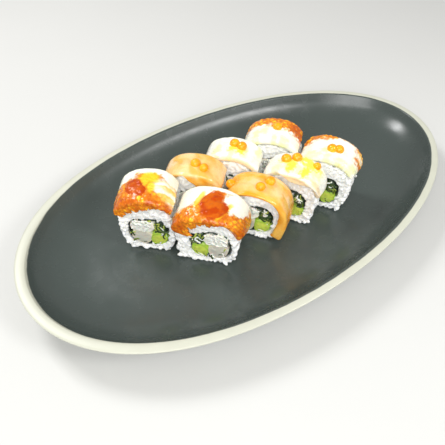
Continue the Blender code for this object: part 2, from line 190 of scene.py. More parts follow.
# Fillings, in millimetres
FILLING_RELIEF = {  # swell, grooves along the stick, bulge and roughness of the ends
    "avocado": (0.35, 0.0, 0.5, 0.35), "greens": (0.5, 0.5, -0.2, 0.6),
    "cheese": (0.7, 0.7, 0.2, 1.1), "prawn": (0.3, 0.1, 0.5, 0.3),
}
FILLING_FIT = {  # width and height against the node's section, to press together, and tilt in degrees
    "avocado": (1.4, 1.3, 0.0), "greens": (1.2, 1.2, 0.0),
    "cheese": (1.2, 1.35, 8.0), "prawn": (1.22, 1.2, 22.0),
}
STICK_SIDES = 56
CAP_RINGS = (0.08, 0.1, 0.12, 0.14, 0.16, 0.18)
END_TUCK = 0.6  # how much a stick narrows at its ends
TUCK_START = 0.8  # share of its radius from which it does
TUCK_DEPTH = 2.4
CRUMB_SIZE = 2.4
SHREDS = (  # round which piece, from which to which share of its radius, how many, share of white ones
    ("greens", 0.0, 1.05, 12, 0.12), ("cheese", 0.0, 1.1, 10, 1.0), ("nori", 0.72, 0.9, 18, 0.6),
)
SHRED_SIZE = (4.5, 1.5, 0.9)  # length, depth and thickness
SHRED_CURL = 1.4
SHRED_SEED = 70
NORI_THICKNESS = 0.45
NORI_WAVE = 0.35
NORI_INSET = 0.25
NORI_END = 0.7  # how far the sleeve's ends stay inside the node's
NORI_RAGGED = 1.2

# Light: size and place of each soft box, and the point they are turned to, in metres
SOFT_BOXES = {
    "key": (0.32, (-0.28, 0.62, 0.85)),
    "fill": (0.8, (-0.62, -0.7, 0.82)),
    "side": (0.28, (0.31, -0.75, 0.74)),
}
LIGHT_AIM = (-0.03, -0.005, 0.03)
WORLD_COLOUR = (1.0, 0.995, 0.98, 1.0)
FLOOR_HALF = 4.0

# Salmon eggs: place across and along the slice, and their share of the full size
ROE = {
    "front_2": ((0.08, 0.53, 1.0), (0.36, 0.28, 0.95), (0.42, 0.66, 1.0)),
    "front_3": ((0.33, 0.53, 1.0), (0.43, 0.71, 1.0), (0.66, 0.73, 0.8)),
    "front_4": ((0.49, 0.38, 1.0), (0.57, 0.44, 1.0)),
    "back_2": ((0.61, 0.39, 1.0), (0.71, 0.24, 0.9)),
    "back_3": ((0.57, 0.62, 1.0), (0.67, 0.55, 1.0)),
    "back_4": ((0.61, 0.53, 1.0),),
}

# Where a slice changes colour: across, along, half width, half depth of each patch. The tint patches are
# painted highlight, a yellow-green cast of glare.
PATCHES = {
    "front_1": {
        "cream": ((0.18, 0.72, 0.22, 0.5), (0.66, 0.62, 0.13, 0.4), (0.45, 1.0, 0.5, 0.2)),
        "sauce": ((0.44, 0.46, 0.09, 0.3), (0.53, 0.22, 0.12, 0.28)),
        "red": ((0.93, 0.05, 0.06, 0.35), (0.62, -0.1, 0.1, 0.14), (0.08, -0.1, 0.14, 0.3)),
        "yellow": ((0.33, 0.5, 0.03, 0.24), (0.62, 0.25, 0.03, 0.3)),
    },
    "front_4": {
        "cream": ((0.42, 0.25, 0.46, 0.48), (0.6, 0.5, 0.2, 0.45), (0.9, 0.0, 0.16, 0.4)),
        "tint": (
            (0.29, 0.12, 0.1, 0.12), (0.5, 0.05, 0.06, 0.12), (0.7, 0.05, 0.1, 0.12),
            (0.9, 0.1, 0.06, 0.25), (0.43, 0.3, 0.05, 0.12),
        ),
        "peach": ((0.87, 0.75, 0.1, 0.16),),
    },
    "back_1": {
        "cream": ((0.2, 0.85, 0.26, 0.34), (0.6, 1.0, 0.45, 0.24), (0.85, 0.8, 0.14, 0.2)),
        "peach": ((0.85, 0.38, 0.2, 0.3),),
        "sauce": ((0.42, 0.34, 0.11, 0.24), (0.5, 0.2, 0.08, 0.16)),
        "red": (
            (0.35, -0.05, 0.12, 0.12), (0.15, 0.0, 0.12, 0.2), (0.9, 0.0, 0.1, 0.16),
            (0.7, -0.1, 0.1, 0.1),
        ),
        "yellow": ((0.6, 0.62, 0.1, 0.18), (0.52, 0.5, 0.08, 0.16), (0.63, 0.32, 0.04, 0.16)),
    },
    "back_4": {
        "cream": ((0.35, 0.1, 0.5, 0.5), (0.75, 0.0, 0.4, 0.5)),
        "red": ((0.87, 0.68, 0.12, 0.2),),
        "tint": (
            (0.46, 0.35, 0.05, 0.16), (0.61, 0.05, 0.05, 0.2), (0.73, 0.05, 0.06, 0.16),
            (0.36, 0.15, 0.04, 0.3),
        ),
    },
    "front_2": {
        "peach": (
            (0.42, 0.42, 0.2, 0.3), (0.22, 0.2, 0.16, 0.2), (0.62, 0.3, 0.06, 0.3),
            (0.5, 0.92, 0.34, 0.14),
        ),
    },
    "back_2": {
        "peach": (
            (0.4, 0.5, 0.3, 0.5), (0.86, 0.5, 0.16, 0.7), (0.6, 0.0, 0.3, 0.26), (0.6, 0.9, 0.3, 0.2),
        ),
    },
    "front_3": {
        "yellow": (
            (0.42, 0.3, 0.05, 0.34), (0.52, 0.75, 0.14, 0.14), (0.62, 0.62, 0.12, 0.2),
            (0.6, 0.2, 0.05, 0.3), (0.36, 0.5, 0.09, 0.2),
        ),
        "tint": ((0.28, 0.1, 0.06, 0.2), (0.5, 0.2, 0.2, 0.2), (0.74, 0.4, 0.08, 0.3)),
        "peach": ((0.85, 0.0, 0.2, 0.12), (0.5, -0.3, 0.3, 0.16)),
    },
    "back_3": {
        "yellow": ((0.57, 0.48, 0.06, 0.2), (0.67, 0.42, 0.06, 0.2)),
        "tint": (
            (0.38, 0.3, 0.05, 0.3), (0.57, 0.2, 0.04, 0.2), (0.88, 0.7, 0.05, 0.26),
            (0.72, 0.3, 0.04, 0.2),
        ),
        "peach": ((0.1, 0.3, 0.12, 0.3), (0.7, -0.02, 0.3, 0.06)),
    },
}
PATCH_KINDS = ("cream", "sauce", "red", "peach", "yellow", "tint")
# Edge of the tint patches, whose colour is painted highlight, a yellow-green cast of glare
HIGHLIGHT_TINT_EDGE = {"strength": 0.5, "scale": 250.0, "raggedness": 3.0, "softness": 0.6}  # edge of a tint patch


def a_colour(name, description, default):
    """A setting that holds a colour."""
    return bpy.props.FloatVectorProperty(
        name=name, description=description, subtype="COLOR", default=default, min=0.0, max=1.0)


def a_length(name, description, default):
    """A setting that holds a length, its default in millimetres."""
    return bpy.props.FloatProperty(
        name=name, description=description, default=default * MM, unit="LENGTH")


def a_power(name, description, default):
    """A setting that holds the power of a light in watts."""
    return bpy.props.FloatProperty(name=name, description=description, default=default, unit="POWER")


def a_place(name, description, default):
    """A setting that holds a place, its default in millimetres."""
    return bpy.props.FloatVectorProperty(
        name=name, description=description, subtype="TRANSLATION", default=tuple(c * MM for c in default))


class PlateLook(bpy.types.PropertyGroup):
    """Finish of the plate."""

    glaze: a_colour("Glaze", "Colour of the dark glaze", (0.054, 0.068, 0.062))
    rim: a_colour("Rim", "Colour of the bare band on the rim", (0.57, 0.575, 0.475))
    rim_width: a_length("Rim width", "Width of the bare band", 4.8)


class RiceLook(bpy.types.PropertyGroup):
    """Grains and colour of the rice."""

    grain_length: a_length("Grain length", "Length of a cooked grain", 5.4)
    grain_width: a_length("Grain width", "Thickness of a cooked grain", 2.9)
    spacing: a_length("Spacing", "Least distance between the middles of two grains", 2.5)
    colour: a_colour("Colour", "Colour of the rice", (0.93, 0.93, 0.89))


class FillingLook(bpy.types.PropertyGroup):
    """Colours of what is rolled in the rice."""

    nori: a_colour("Nori", "Colour of the seaweed", (0.012, 0.022, 0.012))
    avocado: a_colour("Avocado", "Colour of the avocado's flesh", (0.58, 0.68, 0.09))
    greens: a_colour("Greens", "Colour of the leaves", (0.035, 0.075, 0.015))
    cheese: a_colour("Cheese", "Colour of the white cheese and crab", (0.86, 0.86, 0.79))
    prawn: a_colour("Prawn", "Colour of the prawn", (0.60, 0.585, 0.50))


class SliceLook(bpy.types.PropertyGroup):
    """Colours of the slices and of what lies on them."""

    crust: a_colour("Crust", "Colour of the eel's browned glaze", (0.86, 0.27, 0.012))
    cream: a_colour("Cream", "Colour of the creamy part", (0.90, 0.89, 0.75))
    sauce: a_colour("Sauce", "Colour of the red sauce", (0.46, 0.05, 0.0))
    salmon: a_colour("Salmon", "Colour of the salmon", (0.88, 0.33, 0.004))
    fat: a_colour("Fat lines", "Colour of the salmon's fat lines", (0.93, 0.57, 0.12))
    pale: a_colour("Pale salmon", "Colour of the salmon where it is pale", (0.90, 0.62, 0.32))
    white: a_colour("White fish", "Colour of the white fish", (0.90, 0.89, 0.79))
    # Also painted on the eel's blister tops as a highlight
    yellow: a_colour("Yellow sauce", "Colour of the yellow streaks", (0.95, 0.60, 0.02))
    drip: a_colour("Egg juice", "Colour of the yellow drips on the white fish", (0.90, 0.74, 0.02))
    # Painted highlight: a yellow-green cast of glare, laid in patches on the cream and the white fish
    tint: a_colour("Tint", "Colour of the thin yellow-green film on the cream", (0.80, 0.84, 0.16))
    roe: a_colour("Roe", "Colour of the salmon eggs", (0.93, 0.31, 0.0))
    egg_size: a_length("Egg radius", "Radius of a salmon egg", 3.7)


class StageLook(bpy.types.PropertyGroup):
    """Floor, light and camera."""

    floor: a_colour("Floor", "Colour of the floor", (0.62, 0.62, 0.60))
    key: a_power("Key light", "Power of the main soft box", 6.2)
    fill: a_power("Fill light", "Power of the soft box near the camera", 12.2)
    side: a_power("Side light", "Power of the soft box that shines on the plate's wall", 4.2)
    ambient: bpy.props.FloatProperty(
        name="Ambient", description="Strength of the light from all round", default=0.4, min=0.0)
    camera_place: a_place("Camera", "Place of the camera", (-173.64, -203.25, 271.67))
    camera_aim: a_place("Aim", "Point that the camera looks at", (-29.38, -2.65, 6.7))
    lens: bpy.props.FloatProperty(
        name="Lens", description="Focal length in millimetres on a 36 mm sensor", default=38.02)


def add_node(tree, kind, inputs=None, **settings):
    """A shader node with its settings and, for each input, a value or the socket that feeds it."""
    made = tree.nodes.new(kind)
    for key, value in settings.items():
        setattr(made, key, value)
    for key, value in (inputs or {}).items():
        if isinstance(value, bpy.types.NodeSocket):
            tree.links.new(value, made.inputs[key])
        else:
            made.inputs[key].default_value = value
    return made


def mix(tree, factor, first, second):
    """The colour between two colours."""
    inputs = {0: factor, 6: _rgba(first), 7: _rgba(second)}
    return add_node(tree, "ShaderNodeMix", inputs, data_type="RGBA").outputs[2]


def _rgba(colour):
    """A colour as a mix node takes it."""
    return colour if isinstance(colour, bpy.types.NodeSocket) else (*tuple(colour)[:3], 1.0)


def shade(colour, factor):
    """A colour made lighter or darker."""
    return tuple(min(c * factor, 1.0) for c in colour)


def compute(tree, operation, first, second=0.0):
    """One sum of two values."""
    inputs = {0: first, 1: second}
    return add_node(tree, "ShaderNodeMath", inputs, operation=operation).outputs[0]


def step_between(tree, value, low, high, start=0.0, end=1.0):
    """A smooth step of a value from start to end as it goes from low to high."""
    inputs = {"Value": value, "From Min": low, "From Max": high, "To Min": start, "To Max": end}
    kind = "ShaderNodeMapRange"
    return add_node(tree, kind, inputs, interpolation_type="SMOOTHSTEP").outputs["Result"]


def attribute(tree, name):
    """The value of a point attribute."""
    return add_node(tree, "ShaderNodeAttribute", attribute_name=name).outputs["Fac"]


def new_group(name, inputs, outputs):
    """An empty shader node group with float sockets of those names and defaults."""
    group = bpy.data.node_groups.new(name, "ShaderNodeTree")
    for label, default in inputs:
        socket = group.interface.new_socket(label, in_out="INPUT", socket_type="NodeSocketFloat")
        socket.default_value = default
    for label in outputs:
        group.interface.new_socket(label, in_out="OUTPUT", socket_type="NodeSocketFloat")
    entry = group.nodes.new("NodeGroupInput")
    exit_node = group.nodes.new("NodeGroupOutput")
    return group, entry.outputs, exit_node.inputs


def use(tree, name, **values):
    """The outputs of a shared group, placed with these values."""
    made = tree.nodes.new("ShaderNodeGroup")
    made.node_tree = bpy.data.node_groups[name]
    for key, value in values.items():
        socket = made.inputs[key.replace("_", " ").capitalize()]
        if isinstance(value, bpy.types.NodeSocket):
            tree.links.new(value, socket)
        else:
            socket.default_value = value
    return made.outputs


def object_place(tree):
    """The place on the object."""
    return tree.nodes.new("ShaderNodeTexCoord").outputs["Object"]


def noise_texture(tree, spot, scale, detail):
    """A noise texture at a place."""
    return add_node(tree, "ShaderNodeTexNoise", {"Vector": spot, "Scale": scale, "Detail": detail})


def bent(tree, spot, scale, amount):
    """A place that soft noise pushes about."""
    bend = noise_texture(tree, spot, scale, 2.0).outputs["Color"]
    shift = add_node(tree, "ShaderNodeVectorMath", {0: bend, 3: amount}, operation="SCALE").outputs[0]
    return add_node(tree, "ShaderNodeVectorMath", {0: spot, 1: shift}, operation="ADD").outputs[0]


def make_mottle_group():
    """Soft cloudy variation at a coarse scale and a fine one."""
    group, given, out = new_group("Mottle", (("Scale", 100.0), ("Detail", 4.0)), ("Coarse", "Fine"))
    spot = object_place(group)
    coarse = noise_texture(group, spot, given["Scale"], 2.0)
    fine_scale = compute(group, "MULTIPLY", given["Scale"], 6.0)
    fine = noise_texture(group, spot, fine_scale, given["Detail"])
    group.links.new(coarse.outputs["Fac"], out["Coarse"])
    group.links.new(fine.outputs["Fac"], out["Fine"])


def make_ragged_group():
    """A mask whose edge is broken up by noise. The value is above 0 inside the patch."""
    inputs = (("Value", 0.0), ("Scale", 300.0), ("Raggedness", 0.5), ("Softness", 0.1))
    group, given, out = new_group("Ragged", inputs, ("Mask",))
    cloud = noise_texture(group, object_place(group), given["Scale"], 4.0)
    centred = compute(group, "SUBTRACT", cloud.outputs["Fac"], 0.5)
    pushed = compute(group, "MULTIPLY", centred, given["Raggedness"])
    total = compute(group, "ADD", given["Value"], pushed)
    low = compute(group, "MULTIPLY", given["Softness"], -1.0)
    group.links.new(step_between(group, total, low, given["Softness"]), out["Mask"])


def make_blister_group():
    """Bubbles and cracks of a browned glaze: height, and where the cracks are."""
    group, given, out = new_group("Blister", (("Scale", 400.0),), ("Height", "Crack"))
    inputs = {"Vector": bent(group, object_place(group), 250.0, 0.003), "Scale": given["Scale"]}
    edges = add_node(group, "ShaderNodeTexVoronoi", inputs, feature="DISTANCE_TO_EDGE")
    inputs["Smoothness"] = 0.5
    cells = add_node(group, "ShaderNodeTexVoronoi", inputs, feature="SMOOTH_F1")
    group.links.new(compute(group, "SUBTRACT", 1.0, cells.outputs["Distance"]), out["Height"])
    group.links.new(step_between(group, edges.outputs["Distance"], 0.0, 0.12, 1.0, 0.0), out["Crack"])


def make_fibre_group():
    """Bands that run along the slice or stick, bent a little."""
    inputs = (("Across", 12.0), ("Along", 1.5), ("Bend", 0.12), ("Sharpness", 0.3))
    group, given, out = new_group("Fibre", inputs, ("Mask",))
    sheet = group.nodes.new("ShaderNodeUVMap").outputs["UV"]
    parts = add_node(group, "ShaderNodeSeparateXYZ", {0: bent(group, sheet, 3.0, given["Bend"])})
    wide = compute(group, "MULTIPLY", parts.outputs[0], given["Across"])
    deep = compute(group, "MULTIPLY", parts.outputs[1], given["Along"])
    spot = add_node(group, "ShaderNodeCombineXYZ", {0: wide, 1: deep}).outputs[0]
    bands = noise_texture(group, spot, 1.0, 1.0)
    low = compute(group, "SUBTRACT", 0.5, given["Sharpness"])
    high = compute(group, "ADD", 0.5, given["Sharpness"])
    group.links.new(step_between(group, bands.outputs["Fac"], low, high), out["Mask"])


def new_material(name, **constants):
    """A material, its tree and its Principled shader, which gets the constants."""
    made = bpy.data.materials.new(name)
    made.use_nodes = True
    tree = made.node_tree
    shader = tree.nodes["Principled BSDF"]
    for key, value in constants.items():
        shader.inputs[key.replace("_", " ")].default_value = value
    return made, tree, shader


def feed(tree, shader, **sockets):
    """Links sockets to the shader's inputs."""
    for key, socket in sockets.items():
        tree.links.new(socket, shader.inputs[key.replace("_", " ")])


def varied(tree, cloud, low, high):
    """A roughness between two values that follows the fine clouds."""
    return step_between(tree, cloud["Fine"], 0.3, 0.7, low, high)


def bump(tree, height, distance, strength=1.0):
    """A normal from a height, the distance being in metres."""
    inputs = {"Height": height, "Distance": distance, "Strength": strength}
    return add_node(tree, "ShaderNodeBump", inputs).outputs["Normal"]


def glaze_material(look):
    """Satin dark glaze with fine speckle, and the bare cream band on the rim."""
    made, tree, shader = new_material("plate_glaze", IOR=1.5)
    cloud = use(tree, "Mottle", scale=14.0, detail=3.0)
    dark = mix(tree, cloud["Coarse"], shade(look.glaze, 0.88), shade(look.glaze, 1.12))
    inset = attribute(tree, "inset")
    width = compute(tree, "SUBTRACT", look.rim_width / MM, inset)
    band = use(tree, "Ragged", value=width, scale=60.0, raggedness=0.9, softness=0.35)["Mask"]
    cream = mix(tree, cloud["Fine"], shade(look.rim, 0.9), look.rim)
    rough = step_between(tree, cloud["Fine"], 0.2, 0.8, 0.21, 0.3)
    band_rough = compute(tree, "MULTIPLY", band, 0.12)
    feed(tree, shader, Base_Color=mix(tree, band, dark, cream),
         Roughness=compute(tree, "ADD", rough, band_rough),
         Normal=bump(tree, cloud["Fine"], 0.00006, 0.4))
    return made


def rice_material(look):
    """Moist cooked rice: white, slightly translucent, with a soft sheen."""
    made, tree, shader = new_material(
        "rice_grains", Subsurface_Weight=0.6, Subsurface_Radius=(1.0, 0.95, 0.85),
        Subsurface_Scale=0.003, IOR=1.42, Coat_Weight=0.12, Coat_Roughness=0.25)
    cloud = use(tree, "Mottle", scale=160.0, detail=3.0)
    grey = mix(tree, cloud["Coarse"], shade(look.colour, 0.93), shade(look.colour, 1.08))
    feed(tree, shader, Base_Color=grey,
         Roughness=varied(tree, cloud, 0.32, 0.5),
         Normal=bump(tree, cloud["Fine"], 0.0002, 0.5))
    return made


def nori_material(look):
    """Dried seaweed: green-black with a fine wrinkled grain."""
    made, tree, shader = new_material("nori_sheet", IOR=1.45)
    cloud = use(tree, "Mottle", scale=260.0, detail=6.0)
    feed(tree, shader, Base_Color=mix(tree, cloud["Fine"], shade(look.nori, 0.4), shade(look.nori, 2.2)),
         Roughness=step_between(tree, cloud["Coarse"], 0.3, 0.7, 0.4, 0.65),
         Normal=bump(tree, cloud["Fine"], 0.0004, 0.8))
    return made


def filling_material(name, colour, rim_factor, fleck, fibres):
    """Moist flesh, darker or lighter towards its skin, with flecks and fibres."""
    made, tree, shader = new_material(
        name, Subsurface_Weight=0.15, Subsurface_Scale=0.001, Coat_Weight=0.25, Coat_Roughness=0.2)
    cloud = use(tree, "Mottle", scale=320.0, detail=4.0)
    flesh = mix(tree, cloud["Coarse"], shade(colour, 1 - fleck), shade(colour, 1 + fleck))
    skin = step_between(tree, attribute(tree, "rim"), 0.55, 1.0)
    toned = mix(tree, skin, flesh, tuple(min(c * f, 1.0) for c, f in zip(colour, rim_factor)))
    lines = use(tree, "Fibre", across=26.0, along=1.0, bend=0.05, sharpness=0.2)["Mask"]
    streak = compute(tree, "MULTIPLY", lines, fibres)
    height = compute(tree, "ADD", streak, cloud["Fine"])
    feed(tree, shader, Base_Color=mix(tree, streak, toned, shade(colour, 0.72)),
         Roughness=varied(tree, cloud, 0.3, 0.5),
         Normal=bump(tree, height, 0.0003, 0.6))
    return made


def patched(tree, colour, kind, over, strength=1.0, scale=280.0, raggedness=0.8, softness=0.2):
    """The colour with another one over it in the patches of that kind, and the patches' mask."""
    mask = use(tree, "Ragged", value=attribute(tree, kind), scale=scale,
               raggedness=raggedness, softness=softness)["Mask"]
    weight = compute(tree, "MULTIPLY", mask, strength) if strength < 1 else mask
    return mix(tree, weight, colour, over), mask


def shred_material(look):
    """Cut leaves, from dark green blades to pale stalks, and white crumbs."""
    made, tree, shader = new_material(
        "shred_strips", Subsurface_Weight=0.1, Subsurface_Scale=0.0008, Coat_Weight=0.3, Coat_Roughness=0.2)
    cloud = use(tree, "Mottle", scale=400.0, detail=3.0)
    tone = attribute(tree, "tone")
    blade = mix(tree, step_between(tree, tone, 0.2, 0.6), look.greens, shade(look.avocado, 0.75))
    colour = mix(tree, step_between(tree, tone, 0.62, 0.78), blade, look.cheese)
    feed(tree, shader, Base_Color=colour,
         Roughness=varied(tree, cloud, 0.3, 0.5),
         Normal=bump(tree, cloud["Fine"], 0.0002, 0.5))
    return made


def eel_material(look):
    """Browned, blistered glaze that turns to cream, with stains of red and yellow sauce, a painted highlight
    on the blisters' tops, painted shade between them and patches of painted highlight in a yellow-green cast.
    """
    made, tree, shader = new_material(
        "eel_glaze", Specular_IOR_Level=0.15, Subsurface_Weight=0.08, Subsurface_Radius=(1.0, 0.5, 0.2),
        Subsurface_Scale=0.0015, Coat_Weight=0.6, Coat_Roughness=0.06, IOR=1.4)
    cloud = use(tree, "Mottle", scale=120.0, detail=5.0)
    skin = use(tree, "Blister", scale=430.0)
    # Painted light: the blisters' tops turn yellow as a painted highlight and the hollows between them turn
    # darker as painted shade
    cell = attribute(tree, "blister")
    light = mix(tree, step_between(tree, cell, 0.3, 0.95), look.crust, look.yellow)
    crust_painted_light = mix(tree, step_between(tree, cell, 0.0, 0.35), shade(look.crust, 0.72), light)
    dark = step_between(tree, cloud["Coarse"], 0.5, 0.68)
    crust = mix(tree, compute(tree, "MULTIPLY", dark, 0.5), crust_painted_light, look.sauce)
    crust = mix(tree, compute(tree, "MULTIPLY", skin["Crack"], 0.4), crust, look.sauce)
    colour, _ = patched(tree, crust, "red", look.sauce, strength=0.55, raggedness=1.6, softness=0.3)
    layers = use(tree, "Fibre", across=3.0, along=9.0, bend=0.2, sharpness=0.14)["Mask"]
    pale = mix(tree, layers, look.fat, look.cream)
    colour, pale_mask = patched(tree, colour, "peach", pale, softness=0.25)
    tinted = mix(tree, cloud["Fine"], look.cream, shade(look.cream, 1.05))
    colour, cream_mask = patched(tree, colour, "cream", tinted, scale=260.0, raggedness=0.9, softness=0.16)
    # Patches of painted highlight: a yellow-green cast of glare on the cream
    colour, _ = patched(tree, colour, "tint", look.tint, **HIGHLIGHT_TINT_EDGE)
    colour, _ = patched(tree, colour, "yellow", look.yellow, strength=0.85, raggedness=1.0, softness=0.3)
    colour, _ = patched(tree, colour, "sauce", look.sauce, raggedness=0.6, softness=0.2)
    soft = compute(tree, "MAXIMUM", cream_mask, pale_mask)
    blisters = compute(tree, "MULTIPLY", skin["Height"], compute(tree, "SUBTRACT", 1.0, soft))
    height = compute(tree, "ADD", blisters, compute(tree, "MULTIPLY", cloud["Fine"], 0.3))
    feed(tree, shader, Base_Color=colour,
         Roughness=varied(tree, cloud, 0.2, 0.4),
         Normal=bump(tree, height, 0.0007, 0.7))
    return made


def salmon_material(look):
    """Raw salmon: orange flesh with pale fat lines and a wet surface."""
    made, tree, shader = new_material(
        "salmon_flesh", Specular_IOR_Level=0.2, Subsurface_Weight=0.15, Subsurface_Radius=(1.0, 0.5, 0.25),
        Subsurface_Scale=0.002, Coat_Weight=0.8, Coat_Roughness=0.06, IOR=1.4)
    cloud = use(tree, "Mottle", scale=110.0, detail=4.0)
    lines = use(tree, "Fibre", across=5.0, along=2.0, bend=0.35, sharpness=0.12)["Mask"]
    flesh = mix(tree, cloud["Coarse"], shade(look.salmon, 0.88), shade(look.salmon, 1.1))
    striped = mix(tree, compute(tree, "MULTIPLY", lines, 0.75), flesh, look.fat)
    colour, _ = patched(tree, striped, "peach", mix(tree, lines, shade(look.fat, 0.8), look.pale),
                        strength=0.85, scale=200.0, raggedness=1.2, softness=0.4)
    height = compute(tree, "ADD", lines, cloud["Fine"])
    feed(tree, shader, Base_Color=colour,
         Roughness=varied(tree, cloud, 0.2, 0.36),
         Normal=bump(tree, height, 0.0006, 0.6))
    return made


def whitefish_material(look):
    """Pale white fish with yellow sauce run over it, and patches of painted highlight in a yellow-green cast.
    """
    made, tree, shader = new_material(
        "whitefish_flesh", Subsurface_Weight=0.2, Subsurface_Radius=(1.0, 0.8, 0.5),
        Subsurface_Scale=0.0018, Coat_Weight=0.5, Coat_Roughness=0.15, IOR=1.4)
    cloud = use(tree, "Mottle", scale=130.0, detail=4.0)
    lines = use(tree, "Fibre", across=7.0, along=2.0, bend=0.4, sharpness=0.12)["Mask"]
    flesh = mix(tree, cloud["Coarse"], shade(look.white, 0.94), shade(look.white, 1.05))
    layered = mix(tree, compute(tree, "MULTIPLY", lines, 0.2), flesh, mix(tree, 0.5, look.white, look.fat))
    colour, _ = patched(tree, layered, "peach", look.fat, strength=0.5, raggedness=1.2, softness=0.4)
    # Patches of painted highlight: a yellow-green cast of glare
    colour, _ = patched(tree, colour, "tint", look.tint, **HIGHLIGHT_TINT_EDGE)
    colour, _ = patched(tree, colour, "yellow", look.drip, strength=0.9, scale=420.0,
                        raggedness=2.4, softness=0.4)
    height = compute(tree, "ADD", lines, cloud["Fine"])
    feed(tree, shader, Base_Color=colour,
         Roughness=varied(tree, cloud, 0.22, 0.4),
         Normal=bump(tree, height, 0.0005, 0.5))
    return made


def roe_material(look):
    """Salmon eggs: clear orange skins with a lighter side."""
    made, tree, shader = new_material(
        "roe_skin", Roughness=0.16, Subsurface_Weight=0.25, Subsurface_Radius=(1.0, 0.45, 0.1),
        Subsurface_Scale=0.002, Coat_Weight=0.5, Coat_Roughness=0.06, IOR=1.36)
    cloud = use(tree, "Mottle", scale=180.0, detail=2.0)
    feed(tree, shader, Base_Color=mix(tree, step_between(tree, cloud["Coarse"], 0.35, 0.65),
                                      look.roe, mix(tree, 0.4, look.roe, look.yellow)))
    return made


def sauce_material(look):
    """Thick red-brown sauce, glossy and a little see-into."""
    made, tree, shader = new_material(
        "sauce_gloss", Roughness=0.35, Specular_IOR_Level=0.05, Subsurface_Weight=0.05, IOR=1.4,
        Subsurface_Radius=(1.0, 0.25, 0.05), Subsurface_Scale=0.001, Coat_Weight=0.4, Coat_Roughness=0.04)
    cloud = use(tree, "Mottle", scale=150.0, detail=3.0)
    feed(tree, shader, Base_Color=mix(tree, step_between(tree, cloud["Coarse"], 0.4, 0.65),
                                      look.sauce, mix(tree, 0.3, look.sauce, look.crust)),
         Normal=bump(tree, cloud["Coarse"], 0.0006, 0.4))
    return made


def plain_material(name, colour, roughness):
    """A quiet matt surface with slight variation, for the floor."""
    made, tree, shader = new_material(name, Roughness=roughness)
    cloud = use(tree, "Mottle", scale=6.0, detail=3.0)
    feed(tree, shader, Base_Color=mix(tree, cloud["Coarse"], shade(colour, 0.985), shade(colour, 1.015)))
    return made


def mesh_from(name, shape):
    """A mesh from a bmesh, which it uses up."""
    mesh = bpy.data.meshes.new(name)
    shape.to_mesh(mesh)
    shape.free()
    return mesh


def linked(name, data):
    """A new object in the scene."""
    made = bpy.data.objects.new(name, data)
    bpy.context.scene.collection.objects.link(made)
    return made


def new_piece(name, shape, material, node=None):
    """A smooth-shaded object from a bmesh in metres, riding on the frame and standing for its node."""
    mesh = mesh_from(name, shape)
    mesh.materials.append(material)
    mesh.shade_smooth()
    made = linked(name, mesh)
    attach(made, "root")
    if node:
        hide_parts(node)
    return made


def placed(roll, u, v, w):
    """A point of the roll's own frame, in millimetres, in the plate's frame, in metres."""
    turn = math.radians(roll.turn)
    x = roll.foot[0] + u * math.cos(turn) - v * math.sin(turn)
    y = roll.foot[1] + u * math.sin(turn) + v * math.cos(turn)
    return Vector((x, y, ROLL_FLOOR + w)) * MM


def turned(roll, x, y):
    """A direction of the plate's frame in the roll's own frame."""
    turn = math.radians(roll.turn)
    return x * math.cos(turn) + y * math.sin(turn), -x * math.sin(turn) + y * math.cos(turn)


def into_roll(roll, points):
    """Points of the frame, an array in metres, in the roll's own frame, in millimetres."""
    u, v = turned(roll, points[:, 0] / MM - roll.foot[0], points[:, 1] / MM - roll.foot[1])
    return np.column_stack((u, v, points[:, 2] / MM - ROLL_FLOOR))


class Arch:
    """The rice's section as a line from the left foot over the top to the right foot."""

    STEPS = 480

    def __init__(self, roll):
        self.roll = roll
        turns = -math.pi / 2 - np.linspace(0.0, math.tau, self.STEPS + 1)
        x, z = np.cos(turns), np.sin(turns)
        power = np.where(z > 0, 2 / UPPER_SQUARENESS, 2 / LOWER_SQUARENESS)
        x = np.sign(x) * np.abs(x) ** power
        z = np.sign(z) * np.abs(z) ** power
        z = np.where(z > 0, z * (1 - CROWN_FALL * x * x), z)
        level = (z + 1) / 2
        side = (x > 0).astype(int)
        foot = np.array(roll.foot_half)[side]
        middle = np.array(roll.middle_half)[side]
        half = foot + (middle - foot) * np.minimum(level * 2, 1.0)
        half -= SHOULDER_TUCK * np.maximum(level * 2 - 1, 0.0)
        line = np.column_stack((x * half, level * roll.height))
        along = np.gradient(line, axis=0)
        along /= np.maximum(np.linalg.norm(along, axis=1), 1e-9)[:, None]
        self.normals = np.column_stack((-along[:, 1], along[:, 0]))
        self.points = line + self.normals * SLICE_CLEARANCE
        steps = np.linalg.norm(np.diff(self.points, axis=0), axis=1)
        self.arc = np.concatenate(([0.0], np.cumsum(steps)))
        self.crown = int(np.argmax(self.points[:, 1]))
        left, right = self.span(0.5)
        self.width = right - left

    def end(self, height, right):
        """How far along the line a height is, on the left or the right flank."""
        if right:
            return np.interp(-height, -self.points[self.crown:, 1], self.arc[self.crown:])
        return np.interp(height, self.points[:self.crown + 1, 1], self.arc[:self.crown + 1])

    def span(self, share):
        """Where the slice starts and ends on the line, at a share of its length."""
        left_near, left_far, right_near, right_far = self.roll.ends
        left = self.end(left_near + (left_far - left_near) * share, False)
        right = self.end(right_near + (right_far - right_near) * share, True)
        return left, right

    def at(self, across, share):
        """The point and the outward normal in the section."""
        left, right = self.span(share)
        arc = left + (right - left) * across
        point = [np.interp(arc, self.arc, self.points[:, k]) for k in (0, 1)]
        normal = [np.interp(arc, self.arc, self.normals[:, k]) for k in (0, 1)]
        return Vector(point), Vector(normal)


def wave(x, y, z):
    """Soft noise from -1 to 1 at a place."""
    return noise.noise(Vector((x, y, z)))


def cells(spot, gain):
    """Rounded cells: 0 on their borders, up to 1 inside."""
    first, second = noise.voronoi(spot)[0][:2]
    return min((second - first) * gain, 1.0)


